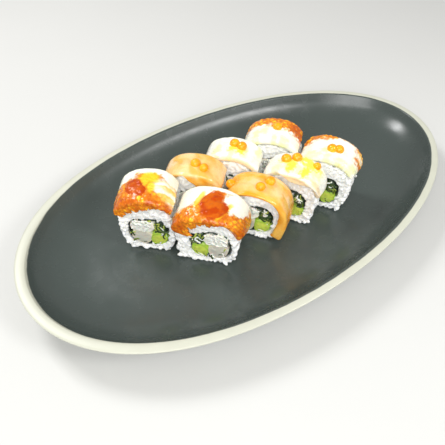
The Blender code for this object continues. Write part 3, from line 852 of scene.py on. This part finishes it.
def near_edge(roll, across):
    """Where the slice's near edge is: 0, or millimetres below 0 where it folds over the near face."""
    if not roll.lip:
        return 0.0
    depth = float(np.interp(across, np.linspace(0.0, 1.0, len(roll.lip)), roll.lip))
    full = min(max(depth / LIP_FULL_DEPTH, LIP_LEAST), 1.0)
    drips = sum(share * wave(across * often, lane, roll.turn) for share, often, lane in LIP_DRIPS)
    return -LIP_FOLD * full - max(depth - LIP_BEND, 0.0) * (1.0 + RAGGED_LIP[roll.kind] * drips)


def draped(arch, across, along, lift):
    """The point over the slice's arch: along is in millimetres from the near edge, lift over the rice."""
    roll = arch.roll
    share = min(max(along / roll.length, 0.0), 1.0)
    point, normal = arch.at(across, share)
    start = -LIP_BEND if roll.lip else -SLICE_FRONT
    if along >= 0:
        v = start + share * (roll.length + SLICE_BACK - start)
        out = lift
    else:
        bend = min(-along / LIP_FOLD, 1.0) * math.pi / 2
        hang = max(-along - LIP_FOLD, 0.0)
        v = start - (LIP_BEND + lift) * math.sin(bend)
        out = -LIP_BEND + (LIP_BEND + lift) * math.cos(bend) - hang
    spot = point + normal * out
    return placed(roll, spot.x, v, max(spot.y, LOWEST))


def round_edge(distance, radius):
    """The share of a slab's full height at a distance from its edge."""
    inner = 1.0 - min(distance / radius, 1.0)
    return math.sqrt(max(1.0 - inner * inner, 0.0))


def zone(name, patch_kind, across, along):
    """How far inside the patches of that kind a place is: 1 in a middle, 0 on an edge, to -1 outside."""
    best = -1.0
    for middle, depth, half_width, half_depth in PATCHES.get(name, {}).get(patch_kind, ()):
        away = math.hypot((across - middle) / half_width, (along - depth) / half_depth)
        best = max(best, 1.0 - away)
    return best


def blister(roll, across, along):
    """Bubbles of the browned glaze: 0 between them, near 1 on top. Across and along are in millimetres."""
    spot = Vector((across, along, 17.0 * ROLLS.index(roll)))
    return cells(spot / BLISTER_SIZE, 1.6)


def relief(roll, across, along):
    """Unevenness of the slice's top in millimetres. Across and along are in millimetres here."""
    spot = Vector((across, along, 17.0 * ROLLS.index(roll)))
    height = SWELL[roll.kind] * noise.noise(spot / SWELL_SIZE)
    if roll.kind == "eel":
        height += BLISTER_HEIGHT * blister(roll, across, along)
        return height + CRUST_HEIGHT * noise.noise(spot / CRUST_SIZE)
    ridge, width, length = RIDGES[roll.kind]
    return height + ridge * wave(spot.x / width, spot.y / length, spot.z)


def edge_rise(roll, across, along, near, width, thick):
    """The share of its full height that a slice of that thickness reaches near its edges."""
    side = round_edge(min(across, 1 - across) * width, thick * SIDE_ROUNDING)
    front = round_edge(along - near, thick * END_ROUNDING)
    back = round_edge(roll.length - along, thick * END_ROUNDING)
    return side * front * back


def slice_top(arch, across, along, width, near):
    """Height of the slice's top over the rice. All but the share across is in millimetres."""
    roll = arch.roll
    full = THICKNESS[roll.kind]
    full *= END_SHARE + (1.0 - END_SHARE) * min(across / END_REACH, (1.0 - across) / END_REACH, 1.0)
    if roll.lip:
        full -= LIP_TAPER * max(1.0 - abs(along) / LIP_FOLD, 0.0)
    if along < 0:
        full += (LIP_THICKNESS - full) * min(-along / LIP_FOLD, 1.0)
    rise = edge_rise(roll, across, along, near, width, full)
    cream = zone(roll.name, "cream", across, along / roll.length)
    rugged = CREAM_CALM if roll.kind == "eel" and cream > 0 else 1.0
    unevenness = relief(roll, across * width, along) * rugged
    return full * (EDGE_LEAST + (1.0 - EDGE_LEAST) * rise) + unevenness * rise


def slab(arch, reach, cuts, top, under):
    """A closed sheet over the arch. Reach is its left, right, near and far edge; top and under give lifts."""
    roll = arch.roll
    left, right, near, far = reach
    shape = bmesh.new()
    bmesh.ops.create_grid(shape, x_segments=cuts[0], y_segments=cuts[1], size=0.5)
    sheet = bmesh.ops.extrude_face_region(shape, geom=shape.faces[:], use_keep_orig=True)
    raised = [part for part in sheet["geom"] if isinstance(part, bmesh.types.BMVert)]
    bmesh.ops.translate(shape, verts=raised, vec=(0, 0, 1))
    chart = shape.loops.layers.uv.new("Slice")
    for face in shape.faces:
        for loop in face.loops:
            loop[chart].uv = (loop.vert.co.x + 0.5, loop.vert.co.y + 0.5)
    layers = {kind: shape.verts.layers.float.new(kind) for kind in PATCH_KINDS}
    cell = shape.verts.layers.float.new("blister")
    for vert in shape.verts:
        across = left + (right - left) * (vert.co.x + 0.5)
        start = near if near is not None else near_edge(roll, across)
        along = start + (far - start) * (vert.co.y + 0.5)
        for kind, layer in layers.items():
            vert[layer] = zone(roll.name, kind, across, along / roll.length)
        vert[cell] = blister(roll, across * arch.width, along)
        lift = top(across, along, start) if vert.co.z > 0.5 else under(across, along, start)
        vert.co = draped(arch, across, along, lift)
    bmesh.ops.recalc_face_normals(shape, faces=shape.faces)
    return shape


def make_slice(roll, material):
    """The slice on top of a roll."""
    arch = Arch(roll)
    thick = THICKNESS[roll.kind]

    def top(across, along, near):
        return slice_top(arch, across, along, arch.width, near)

    def under(across, along, near):
        rise = edge_rise(roll, across, along, near, arch.width, thick)
        edge = EDGE_LEAST * thick * (1 - rise) * (1.0 if along >= 0 else 0.5)
        return edge - SLICE_SINK * min(max(1.0 + along / LIP_FOLD, 0.0), 1.0)

    shape = slab(arch, (0.0, 1.0, None, roll.length), SLICE_CUTS, top, under)
    piece = f"{roll.name}_{roll.kind}_slice"
    return new_piece(piece, shape, material, f"{roll.name}_{roll.kind}")


def make_sauce(roll, number, patch, material):
    """A pool of sauce on a slice: a lens that dips into the slice at its edge."""
    arch = Arch(roll)
    middle, depth, half_width, half_depth = patch
    reach = half_width * SAUCE_MARGIN
    left, right = max(middle - reach, SAUCE_EDGE), min(middle + reach, 1.0 - SAUCE_EDGE)
    near = (depth - half_depth * SAUCE_MARGIN) * roll.length
    near = max(near, 1.0 + max(near_edge(roll, place) for place in (left, middle, right)))
    far = min((depth + half_depth * SAUCE_MARGIN) * roll.length, roll.length - 0.5)

    def base(across, along):
        return slice_top(arch, across, along, arch.width, near_edge(roll, across))

    def top(across, along, start):
        away = math.hypot((across - middle) / half_width, (along / roll.length - depth) / half_depth)
        inside = 1.0 - away + SAUCE_RAGGED * wave(across * 22.0, along / 2.6, number * 9.0)
        rise = min(max(inside, -0.5), SAUCE_RISE) / SAUCE_RISE
        return base(across, along) + SAUCE_HEIGHT * rise - 0.1

    def under(across, along, start):
        return base(across, along) - SAUCE_DEPTH

    shape = slab(arch, (left, right, near, far), SAUCE_CUTS, top, under)
    return new_piece(f"{roll.name}_sauce_{number}", shape, material)


def make_egg(arch, across, along, radius, shape):
    """A salmon egg, half sunk in the top of its slice."""
    roll = arch.roll
    left, right = arch.span(along)
    lift = slice_top(arch, across, along * roll.length, right - left, 0.0)
    spot = draped(arch, across, along * roll.length, lift + radius / MM * EGG_LIFT)
    spot.z = min(spot.z, CAD_BOX[1][2] - radius)
    matrix = Matrix.Translation(spot) @ Matrix.Diagonal(EGG_SQUASH)
    bmesh.ops.create_icosphere(shape, subdivisions=3, radius=radius, matrix=matrix)


def egg_swell(turn):
    """How much wider the plate's half is at a turn round it."""
    waves = sum(k * math.cos((n + 1) * turn) for n, k in enumerate(EGG))
    return (1 + waves) / (1 - EGG[1])


def make_plate(look, material):
    """The plate: its profile spun into a ring and drawn out into the egg."""
    shape = bmesh.new()
    line = smooth_line(PLATE_PROFILE, PROFILE_CUTS)
    verts = [shape.verts.new((REACH - inset, 0.0, height)) for inset, height in line]
    edges = [shape.edges.new(pair) for pair in zip(verts, verts[1:])]
    bmesh.ops.spin(shape, geom=verts + edges, cent=(0, 0, 0), axis=(0, 0, 1), angle=math.tau,
                   steps=PLATE_STEPS, use_merge=True)
    bmesh.ops.remove_doubles(shape, verts=shape.verts, dist=0.001)
    bmesh.ops.holes_fill(shape, edges=shape.edges, sides=0)
    inset_layer = shape.verts.layers.float.new("inset")
    for vert in shape.verts:
        turn = math.atan2(vert.co.y, vert.co.x)
        inset = REACH - math.hypot(vert.co.x, vert.co.y)
        blunt, narrow = (max(-math.cos(turn), 0.0) ** 2, max(math.cos(turn), 0.0) ** 2)
        vert[inset_layer] = inset - BAND_EXTRA[0] * blunt - BAND_EXTRA[1] * narrow
        vert.co.x = (PLATE_HALF[0] - inset) * math.cos(turn)
        vert.co.y = (PLATE_HALF[1] - inset) * math.sin(turn) * egg_swell(turn)
    bmesh.ops.scale(shape, verts=shape.verts, vec=(MM, MM, MM))
    bmesh.ops.recalc_face_normals(shape, faces=shape.faces)
    bmesh.ops.triangulate(shape, faces=[face for face in shape.faces if len(face.verts) > 4])
    return new_piece("plate_glazed", shape, material, "plate")


def smooth_line(points, cuts):
    """A Catmull-Rom curve through the points, with that many steps between two of them."""
    found = []
    for k in range(len(points) - 1):
        before = Vector(points[max(k - 1, 0)])
        start, end = Vector(points[k]), Vector(points[k + 1])
        after = Vector(points[min(k + 2, len(points) - 1)])
        for i in range(cuts):
            t = i / cuts
            bend = (end - before) * t + (2 * before - 5 * start + 4 * end - after) * t * t
            found.append(start + (bend + (3 * start - before - 3 * end + after) * t ** 3) / 2)
    found.append(Vector(points[-1]))
    return [(max(p.x, 0.0), max(p.y, 0.0)) for p in found]


def merged_copy(node):
    """A bmesh of a CAD node with its loose triangles merged."""
    shape = bmesh.new()
    shape.from_mesh(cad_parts[node].data)
    bmesh.ops.remove_doubles(shape, verts=shape.verts, dist=1e-5)
    return shape


def surface_spots(shape, spacing, draw):
    """Places and normals spread over a closed shape, no two closer than the spacing."""
    corners = np.array([[v.co for v in tri] for tri in (
        [loop.vert for loop in loops] for loops in shape.calc_loop_triangles())])
    normals = np.cross(corners[:, 1] - corners[:, 0], corners[:, 2] - corners[:, 0])
    doubled = np.linalg.norm(normals, axis=1)
    keep = doubled > 1e-12
    corners, normals, doubled = corners[keep], normals[keep], doubled[keep]
    normals /= doubled[:, None]
    count = int(doubled.sum() / 2 / spacing ** 2 * GRAIN_TRIES)
    picked = draw.choice(len(corners), count, p=doubled / doubled.sum())
    first, second = draw.random(count), draw.random(count)
    flip = first + second > 1
    first[flip], second[flip] = 1 - first[flip], 1 - second[flip]
    tri = corners[picked]
    spots = tri[:, 0] + (tri[:, 1] - tri[:, 0]) * first[:, None] + (tri[:, 2] - tri[:, 0]) * second[:, None]
    kept = np.empty_like(spots)
    kept_normals = np.empty_like(spots)
    total = 0
    for spot, normal in zip(spots, normals[picked]):
        if total and ((kept[:total] - spot) ** 2).sum(axis=1).min() < spacing ** 2:
            continue
        kept[total], kept_normals[total] = spot, normal
        total += 1
    return kept[:total], kept_normals[:total]


def grain_needed(roll, spot, normal):
    """Whether a grain shows at this place: not in the filling's channel and not under the slice."""
    u, v, w = spot
    nu, nv, nw = normal
    half_width, low, high = CHANNEL
    in_channel = abs(u) < half_width and low < w < high and CHANNEL_END < v < roll.length - CHANNEL_END
    inwards = nu * u + nw * (w - roll.height / 2 * CHANNEL_MIDDLE) < 0
    if in_channel and inwards and abs(nv) <= CUT_FACING:
        return False
    lowest = max(roll.ends[0:2]) if u < 0 else max(roll.ends[2:4])
    covered = w > lowest + COVER_OVERLAP and COVER_END < v < roll.length - COVER_END
    underneath = nw < -DOWN_FACING and UNDERSIDE_END < v < roll.length - UNDERSIDE_END
    return not covered and not underneath


def make_rice(roll, look, material):
    """The rice: a shrunken copy of the roll's core, covered with grains pressed into it."""
    draw = np.random.default_rng(ROLLS.index(roll) + RICE_SEED)
    node = f"{roll.name}_rice"
    core = merged_copy(node)
    spots, normals = surface_spots(core, look.spacing, draw)
    local_normals = np.column_stack((*turned(roll, normals[:, 0], normals[:, 1]), normals[:, 2]))
    shown = [grain_needed(roll, s, n) for s, n in zip(into_roll(roll, spots), local_normals)]
    spots, normals, local_normals = spots[shown], normals[shown], local_normals[shown]
    grain = bmesh.new()
    bmesh.ops.create_uvsphere(grain, u_segments=GRAIN_SIDES[0], v_segments=GRAIN_SIDES[1], radius=0.5)
    grain_mesh = mesh_from("grain", grain)
    shift_core(core)
    core_mesh = mesh_from("core", core)
    mesh = joined_grains(core_mesh, grain_mesh, spots, normals, local_normals, look, draw)
    shape = bmesh.new()
    soft = softened(mesh)
    shape.from_mesh(soft)
    for scrap in (grain_mesh, core_mesh, mesh, soft):
        bpy.data.meshes.remove(scrap)
    return new_piece(f"{roll.name}_rice_grains", shape, material, node)


def softened(mesh):
    """The grains melted into one skin, as cooked rice sticks together."""
    lump = linked("lump", mesh)
    melt = lump.modifiers.new("melt", "REMESH")
    melt.mode = "VOXEL"
    melt.voxel_size = RICE_VOXEL * MM
    ease = lump.modifiers.new("ease", "SMOOTH")
    ease.factor = 0.5
    ease.iterations = RICE_EASING
    graph = bpy.context.evaluated_depsgraph_get()
    found = bpy.data.meshes.new_from_object(lump.evaluated_get(graph))
    bpy.data.objects.remove(lump)
    return found


def shift_core(core):
    """Draws the core in a little and roughens it, so that the grains stand out of it."""
    bmesh.ops.subdivide_edges(core, edges=core.edges[:], cuts=1, use_grid_fill=True)
    core.normal_update()
    for vert in core.verts:
        rough = noise.noise(vert.co / (2.2 * MM)) * CORE_ROUGHNESS
        vert.co -= vert.normal * (CORE_INSET + rough) * MM
        vert.co.z = max(vert.co.z, (ROLL_FLOOR + 0.2) * MM)


def joined_grains(core, grain, spots, normals, local_normals, look, draw):
    """One mesh of the core and a turned copy of the grain at each spot."""
    base = np.array([v.co for v in grain.vertices])
    faces = [list(p.vertices) for p in grain.polygons]
    count = len(spots)
    size = np.column_stack((
        look.grain_width * draw.uniform(0.82, 1.1, count),
        look.grain_width * draw.uniform(0.85, 1.1, count),
        look.grain_length * draw.uniform(0.8, 1.08, count)))
    helper = np.where(np.abs(normals[:, 2:]) < 0.9, (0.0, 0.0, 1.0), (1.0, 0.0, 0.0))
    side = np.cross(normals, helper)
    side /= np.linalg.norm(side, axis=1)[:, None]
    other = np.cross(normals, side)
    angle = draw.uniform(0, math.pi, count)[:, None]
    lean = draw.uniform(-0.3, 0.3, count)[:, None]
    along = side * np.cos(angle) + other * np.sin(angle) + normals * lean
    along /= np.linalg.norm(along, axis=1)[:, None]
    across = np.cross(along, normals)
    across /= np.linalg.norm(across, axis=1)[:, None]
    out = np.cross(across, along)
    at_cut = np.abs(local_normals[:, 1]) > CUT_FACING
    sink = np.where(at_cut, *GRAIN_SINK) + draw.uniform(-0.08, 0.1, count)
    lumps = np.array([noise.noise(Vector(spot) / (LUMP_SIZE * MM)) for spot in spots]) * LUMP_HEIGHT * MM
    middle = spots - normals * (look.grain_width * sink - lumps)[:, None]
    axes = np.stack((across, out, along), axis=1) * size[:, :, None]
    grains = middle[:, None, :] + np.einsum("vk,nkj->nvj", base, axes)
    grains = grains.reshape(-1, 3)
    grains[:, 2] = np.maximum(grains[:, 2], (ROLL_FLOOR + 0.05) * MM)
    core_points = np.array([v.co for v in core.vertices])
    points = np.vstack((core_points, grains))
    polygons = [list(p.vertices) for p in core.polygons]
    for k in range(count):
        start = len(core_points) + k * len(base)
        polygons.extend([start + i for i in face] for face in faces)
    mesh = bpy.data.meshes.new("joined")
    mesh.from_pydata(points.tolist(), [], polygons)
    return mesh


def section_of(node, roll):
    """The middle of a filling's near end, its outline as radius by angle, and its two depths."""
    points = into_roll(roll, np.array([v.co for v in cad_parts[node].data.vertices]))
    near, far = points[:, 1].min(), points[:, 1].max()
    ring = np.unique(np.round(points[points[:, 1] < near + 0.05][:, (0, 2)], 3), axis=0)
    middle = (ring.min(0) + ring.max(0)) / 2
    away = ring - middle
    angle = np.arctan2(away[:, 1], away[:, 0])
    order = np.argsort(angle)
    return middle, angle[order], np.hypot(away[:, 0], away[:, 1])[order], near, far


def cut_lengthwise(shape, cuts):
    """Cuts the long edges of an upright cylinder."""
    edges = [edge for edge in shape.edges if abs(edge.verts[0].co.z - edge.verts[1].co.z) > 0.5]
    bmesh.ops.subdivide_edges(shape, edges=edges, cuts=cuts)


def make_filling(roll, filling, material):
    """A stick of filling: a capped cylinder drawn to the outline of its node, with soft ends."""
    node = f"{roll.name}_{filling}"
    middle, angles, radii, near, far = section_of(node, roll)
    swell, grooves, bulge, roughness = FILLING_RELIEF[filling]
    wide, high, tilt = FILLING_FIT[filling]
    tilt = math.radians(tilt if roll.name == "front_1" else -tilt)
    shape = bmesh.new()
    bmesh.ops.create_cone(shape, cap_ends=True, segments=STICK_SIDES, radius1=1.0, radius2=1.0, depth=1.0)
    caps = [face for face in shape.faces if len(face.verts) > 4]
    for share in CAP_RINGS:
        bmesh.ops.inset_individual(shape, faces=caps, thickness=share, depth=0.0)
    cut_lengthwise(shape, 6)
    rim_layer = shape.verts.layers.float.new("rim")
    chart = shape.loops.layers.uv.new("Stick")
    for face in shape.faces:
        for loop in face.loops:
            co = loop.vert.co
            loop[chart].uv = (math.atan2(co.y, co.x) / math.tau, co.z + 0.5)
    seed = 7.0 * FILLINGS.index(filling) + 31.0 * ROLLS.index(roll)
    for vert in shape.verts:
        reach = math.hypot(vert.co.x, vert.co.y)
        turn = math.atan2(vert.co.y, vert.co.x)
        x, z = math.cos(turn), math.sin(turn)
        at_end = abs(vert.co.z) > 0.49
        radius = np.interp(turn, angles, radii, period=math.tau)
        radius += swell * wave(x * 2.2, z * 2.2, seed + vert.co.z * 3) + grooves * wave(x * 6, z * 6, seed)
        tuck = END_TUCK * max(reach - TUCK_START, 0.0) if at_end else 0.0
        vert[rim_layer] = reach
        side = x * radius * reach * (1.0 - tuck) * wide
        rise = z * radius * reach * (1.0 - tuck) * high
        u = middle[0] + side * math.cos(tilt) - rise * math.sin(tilt)
        w = middle[1] + side * math.sin(tilt) + rise * math.cos(tilt)
        v = near + (far - near) * (vert.co.z + 0.5)
        if at_end:
            dome = bulge * (1 - reach * reach) - TUCK_DEPTH * tuck
            rough = roughness * (wave(u / 3, w / 3, seed) + 0.5 * wave(u, w, seed))
            if filling == "cheese":
                rough += cells(Vector((u, w, seed)) / CRUMB_SIZE, 2.0) - 0.6
            v += math.copysign(dome + rough, vert.co.z)
        vert.co = placed(roll, u, v, w)
    bmesh.ops.recalc_face_normals(shape, faces=shape.faces)
    return new_piece(f"{roll.name}_{filling}_stick", shape, material, node)


def make_shreds(roll, material):
    """Cut leaves and white crumbs between the fillings at both ends: short bent strips on edge."""
    draw = random.Random(ROLLS.index(roll) + SHRED_SEED)
    shape = bmesh.new()
    tone = shape.verts.layers.float.new("tone")
    for piece, inner, outer, count, white in SHREDS:
        middle, angles, radii, near, far = section_of(f"{roll.name}_{piece}", roll)
        for face, outward in [(near, -1), (far, 1)] * count:
            angle = draw.uniform(-math.pi, math.pi)
            turn, curl = draw.uniform(0, math.pi), draw.uniform(-SHRED_CURL, SHRED_CURL)
            share = math.sqrt(draw.uniform(inner ** 2, outer ** 2))
            away = np.interp(angle, angles, radii, period=math.tau) * share
            pale = draw.uniform(0.8, 1.0) if draw.random() < white else draw.uniform(0.0, 0.6)
            depth = draw.uniform(-0.6, 0.3)
            strip = bmesh.ops.create_grid(shape, x_segments=6, y_segments=1, size=0.5)["verts"]
            for vert in strip:
                arc = turn + curl * vert.co.x
                step = SHRED_SIZE[0] * vert.co.x
                u = middle[0] + away * math.cos(angle) + step * math.cos(arc)
                v = face + outward * (depth + vert.co.y * SHRED_SIZE[1])
                w = middle[1] + away * math.sin(angle) + step * math.sin(arc)
                vert[tone] = pale
                vert.co = placed(roll, u, v, w)
    bmesh.ops.solidify(shape, geom=shape.faces[:], thickness=SHRED_SIZE[2] * MM)
    bmesh.ops.recalc_face_normals(shape, faces=shape.faces)
    return new_piece(f"{roll.name}_shreds", shape, material)


def make_nori(roll, material):
    """The seaweed round the filling: a thin, wavy sleeve."""
    node = f"{roll.name}_nori"
    middle, angles, radii, near, far = section_of(node, roll)
    shape = bmesh.new()
    bmesh.ops.create_cone(shape, cap_ends=False, segments=96, radius1=1.0, radius2=1.0, depth=1.0)
    cut_lengthwise(shape, 8)
    seed = 11.0 * ROLLS.index(roll)
    for vert in shape.verts:
        turn = math.atan2(vert.co.y, vert.co.x)
        x, z = math.cos(turn), math.sin(turn)
        radius = np.interp(turn, angles, radii, period=math.tau)
        radius += NORI_WAVE * wave(x * 3.5, z * 3.5, seed + vert.co.z) - NORI_INSET
        v = near + (far - near) * (vert.co.z + 0.5)
        if abs(vert.co.z) > 0.49:
            ragged = NORI_RAGGED * wave(x * 3, z * 3, seed + vert.co.z * 9)
            v -= math.copysign(NORI_END - ragged, vert.co.z)
        vert.co = placed(roll, middle[0] + x * radius, v, middle[1] + z * radius)
    bmesh.ops.recalc_face_normals(shape, faces=shape.faces)
    bmesh.ops.solidify(shape, geom=shape.faces[:], thickness=NORI_THICKNESS * MM)
    bmesh.ops.recalc_face_normals(shape, faces=shape.faces)
    return new_piece(f"{roll.name}_nori_sheet", shape, material, node)


class URAMAKI_OT_stage(bpy.types.Operator):
    """Make the floor, the soft lights and the camera."""

    bl_idname = "uramaki.stage"
    bl_label = "Stage"

    def execute(self, context):
        look = context.scene.uramaki_stage
        shape = bmesh.new()
        bmesh.ops.create_grid(shape, x_segments=8, y_segments=8, size=FLOOR_HALF)
        floor = linked("floor", mesh_from("floor", shape))
        floor.data.materials.append(plain_material("floor_paper", look.floor, 0.8))
        world = bpy.data.worlds.new("studio")
        world.use_nodes = True
        background = world.node_tree.nodes["Background"]
        background.inputs["Color"].default_value = WORLD_COLOUR
        background.inputs["Strength"].default_value = look.ambient
        context.scene.world = world
        context.scene.view_settings.view_transform = "Standard"
        for name, (size, spot) in SOFT_BOXES.items():
            self.soft_box(name, getattr(look, name), size, Vector(spot))
        camera = linked("camera", bpy.data.cameras.new("camera"))
        camera.data.lens = look.lens
        camera.data.sensor_width = 36.0
        camera.data.clip_start = 0.01
        camera.location = look.camera_place
        away = Vector(look.camera_place) - Vector(look.camera_aim)
        camera.rotation_euler = away.to_track_quat("Z", "Y").to_euler()
        context.scene.camera = camera
        return {"FINISHED"}

    def soft_box(self, name, power, size, spot):
        """A square area light turned to the rolls."""
        lamp = bpy.data.lights.new(name, "AREA")
        lamp.energy = power
        lamp.size = size
        made = linked(name, lamp)
        made.location = spot
        made.rotation_euler = (spot - Vector(LIGHT_AIM)).to_track_quat("Z", "Y").to_euler()


class URAMAKI_OT_plate(bpy.types.Operator):
    """Make the glazed plate."""

    bl_idname = "uramaki.plate"
    bl_label = "Plate"

    def execute(self, context):
        look = context.scene.uramaki_plate
        make_plate(look, glaze_material(look))
        return {"FINISHED"}


class URAMAKI_OT_rice(bpy.types.Operator):
    """Make the rice of every roll, grain by grain."""

    bl_idname = "uramaki.rice"
    bl_label = "Rice"

    def execute(self, context):
        look = context.scene.uramaki_rice
        material = rice_material(look)
        for roll in ROLLS:
            make_rice(roll, look, material)
        return {"FINISHED"}


class URAMAKI_OT_fillings(bpy.types.Operator):
    """Make the seaweed and the sticks of filling."""

    bl_idname = "uramaki.fillings"
    bl_label = "Fillings"

    def execute(self, context):
        look = context.scene.uramaki_filling
        nori = nori_material(look)
        finishes = {
            "avocado": filling_material("avocado_flesh", look.avocado, (0.62, 0.85, 0.5), 0.35, 0.3),
            "greens": filling_material("green_leaves", look.greens, (0.4, 0.5, 0.4), 0.6, 0.8),
            "cheese": filling_material("white_cheese", look.cheese, (1.0, 0.97, 0.9), 0.06, 0.2),
            "prawn": filling_material("prawn_flesh", look.prawn, (1.3, 1.2, 1.1), 0.1, 0.25),
        }
        shreds = shred_material(look)
        for roll in ROLLS:
            make_nori(roll, nori)
            make_shreds(roll, shreds)
            for filling in FILLINGS:
                make_filling(roll, filling, finishes[filling])
        return {"FINISHED"}


class URAMAKI_OT_slices(bpy.types.Operator):
    """Make the slices that lie over the rolls."""

    bl_idname = "uramaki.slices"
    bl_label = "Slices"

    def execute(self, context):
        look = context.scene.uramaki_slice
        finishes = {
            "eel": eel_material(look),
            "salmon": salmon_material(look),
            "whitefish": whitefish_material(look),
        }
        for roll in ROLLS:
            make_slice(roll, finishes[roll.kind])
        return {"FINISHED"}


class URAMAKI_OT_toppings(bpy.types.Operator):
    """Make the pools of sauce and the salmon eggs."""

    bl_idname = "uramaki.toppings"
    bl_label = "Sauce and Roe"

    def execute(self, context):
        look = context.scene.uramaki_slice
        gloss = sauce_material(look)
        for roll in ROLLS:
            for number, patch in enumerate(PATCHES[roll.name].get("sauce", ())):
                make_sauce(roll, number, patch, gloss)
        shape = bmesh.new()
        for roll in ROLLS:
            arch = Arch(roll)
            for across, along, share in ROE.get(roll.name, ()):
                make_egg(arch, across, along, look.egg_size * share, shape)
        new_piece("salmon_eggs", shape, roe_material(look))
        return {"FINISHED"}


class URAMAKI_PT_panel(bpy.types.Panel):
    """The plate's pieces in the sidebar."""

    bl_idname = "URAMAKI_PT_panel"
    bl_label = "Uramaki Plate"
    bl_space_type = "VIEW_3D"
    bl_region_type = "UI"
    bl_category = "Uramaki"

    def draw(self, context):
        for operator in OPERATORS:
            self.layout.operator(operator.bl_idname)
        for name, _ in LOOKS:
            look = getattr(context.scene, name)
            for key in look.bl_rna.properties.keys():
                if key not in ("rna_type", "name"):
                    self.layout.prop(look, key)


LOOKS = (
    ("uramaki_plate", PlateLook),
    ("uramaki_rice", RiceLook),
    ("uramaki_filling", FillingLook),
    ("uramaki_slice", SliceLook),
    ("uramaki_stage", StageLook),
)
OPERATORS = (
    URAMAKI_OT_stage,
    URAMAKI_OT_plate,
    URAMAKI_OT_rice,
    URAMAKI_OT_fillings,
    URAMAKI_OT_slices,
    URAMAKI_OT_toppings,
)


def register():
    """Adds the settings, the operators and the panel."""
    for name, look in LOOKS:
        bpy.utils.register_class(look)
        setattr(bpy.types.Scene, name, bpy.props.PointerProperty(type=look))
    for operator in OPERATORS:
        bpy.utils.register_class(operator)
    bpy.utils.register_class(URAMAKI_PT_panel)


def unregister():
    """Takes them away again."""
    bpy.utils.unregister_class(URAMAKI_PT_panel)
    for operator in reversed(OPERATORS):
        bpy.utils.unregister_class(operator)
    for name, look in reversed(LOOKS):
        delattr(bpy.types.Scene, name)
        bpy.utils.unregister_class(look)


def main():
    """Makes everything."""
    register()
    make_mottle_group()
    make_ragged_group()
    make_blister_group()
    make_fibre_group()
    bpy.ops.uramaki.stage()
    bpy.ops.uramaki.plate()
    bpy.ops.uramaki.rice()
    bpy.ops.uramaki.fillings()
    bpy.ops.uramaki.slices()
    bpy.ops.uramaki.toppings()


if __name__ == "__main__":
    main()
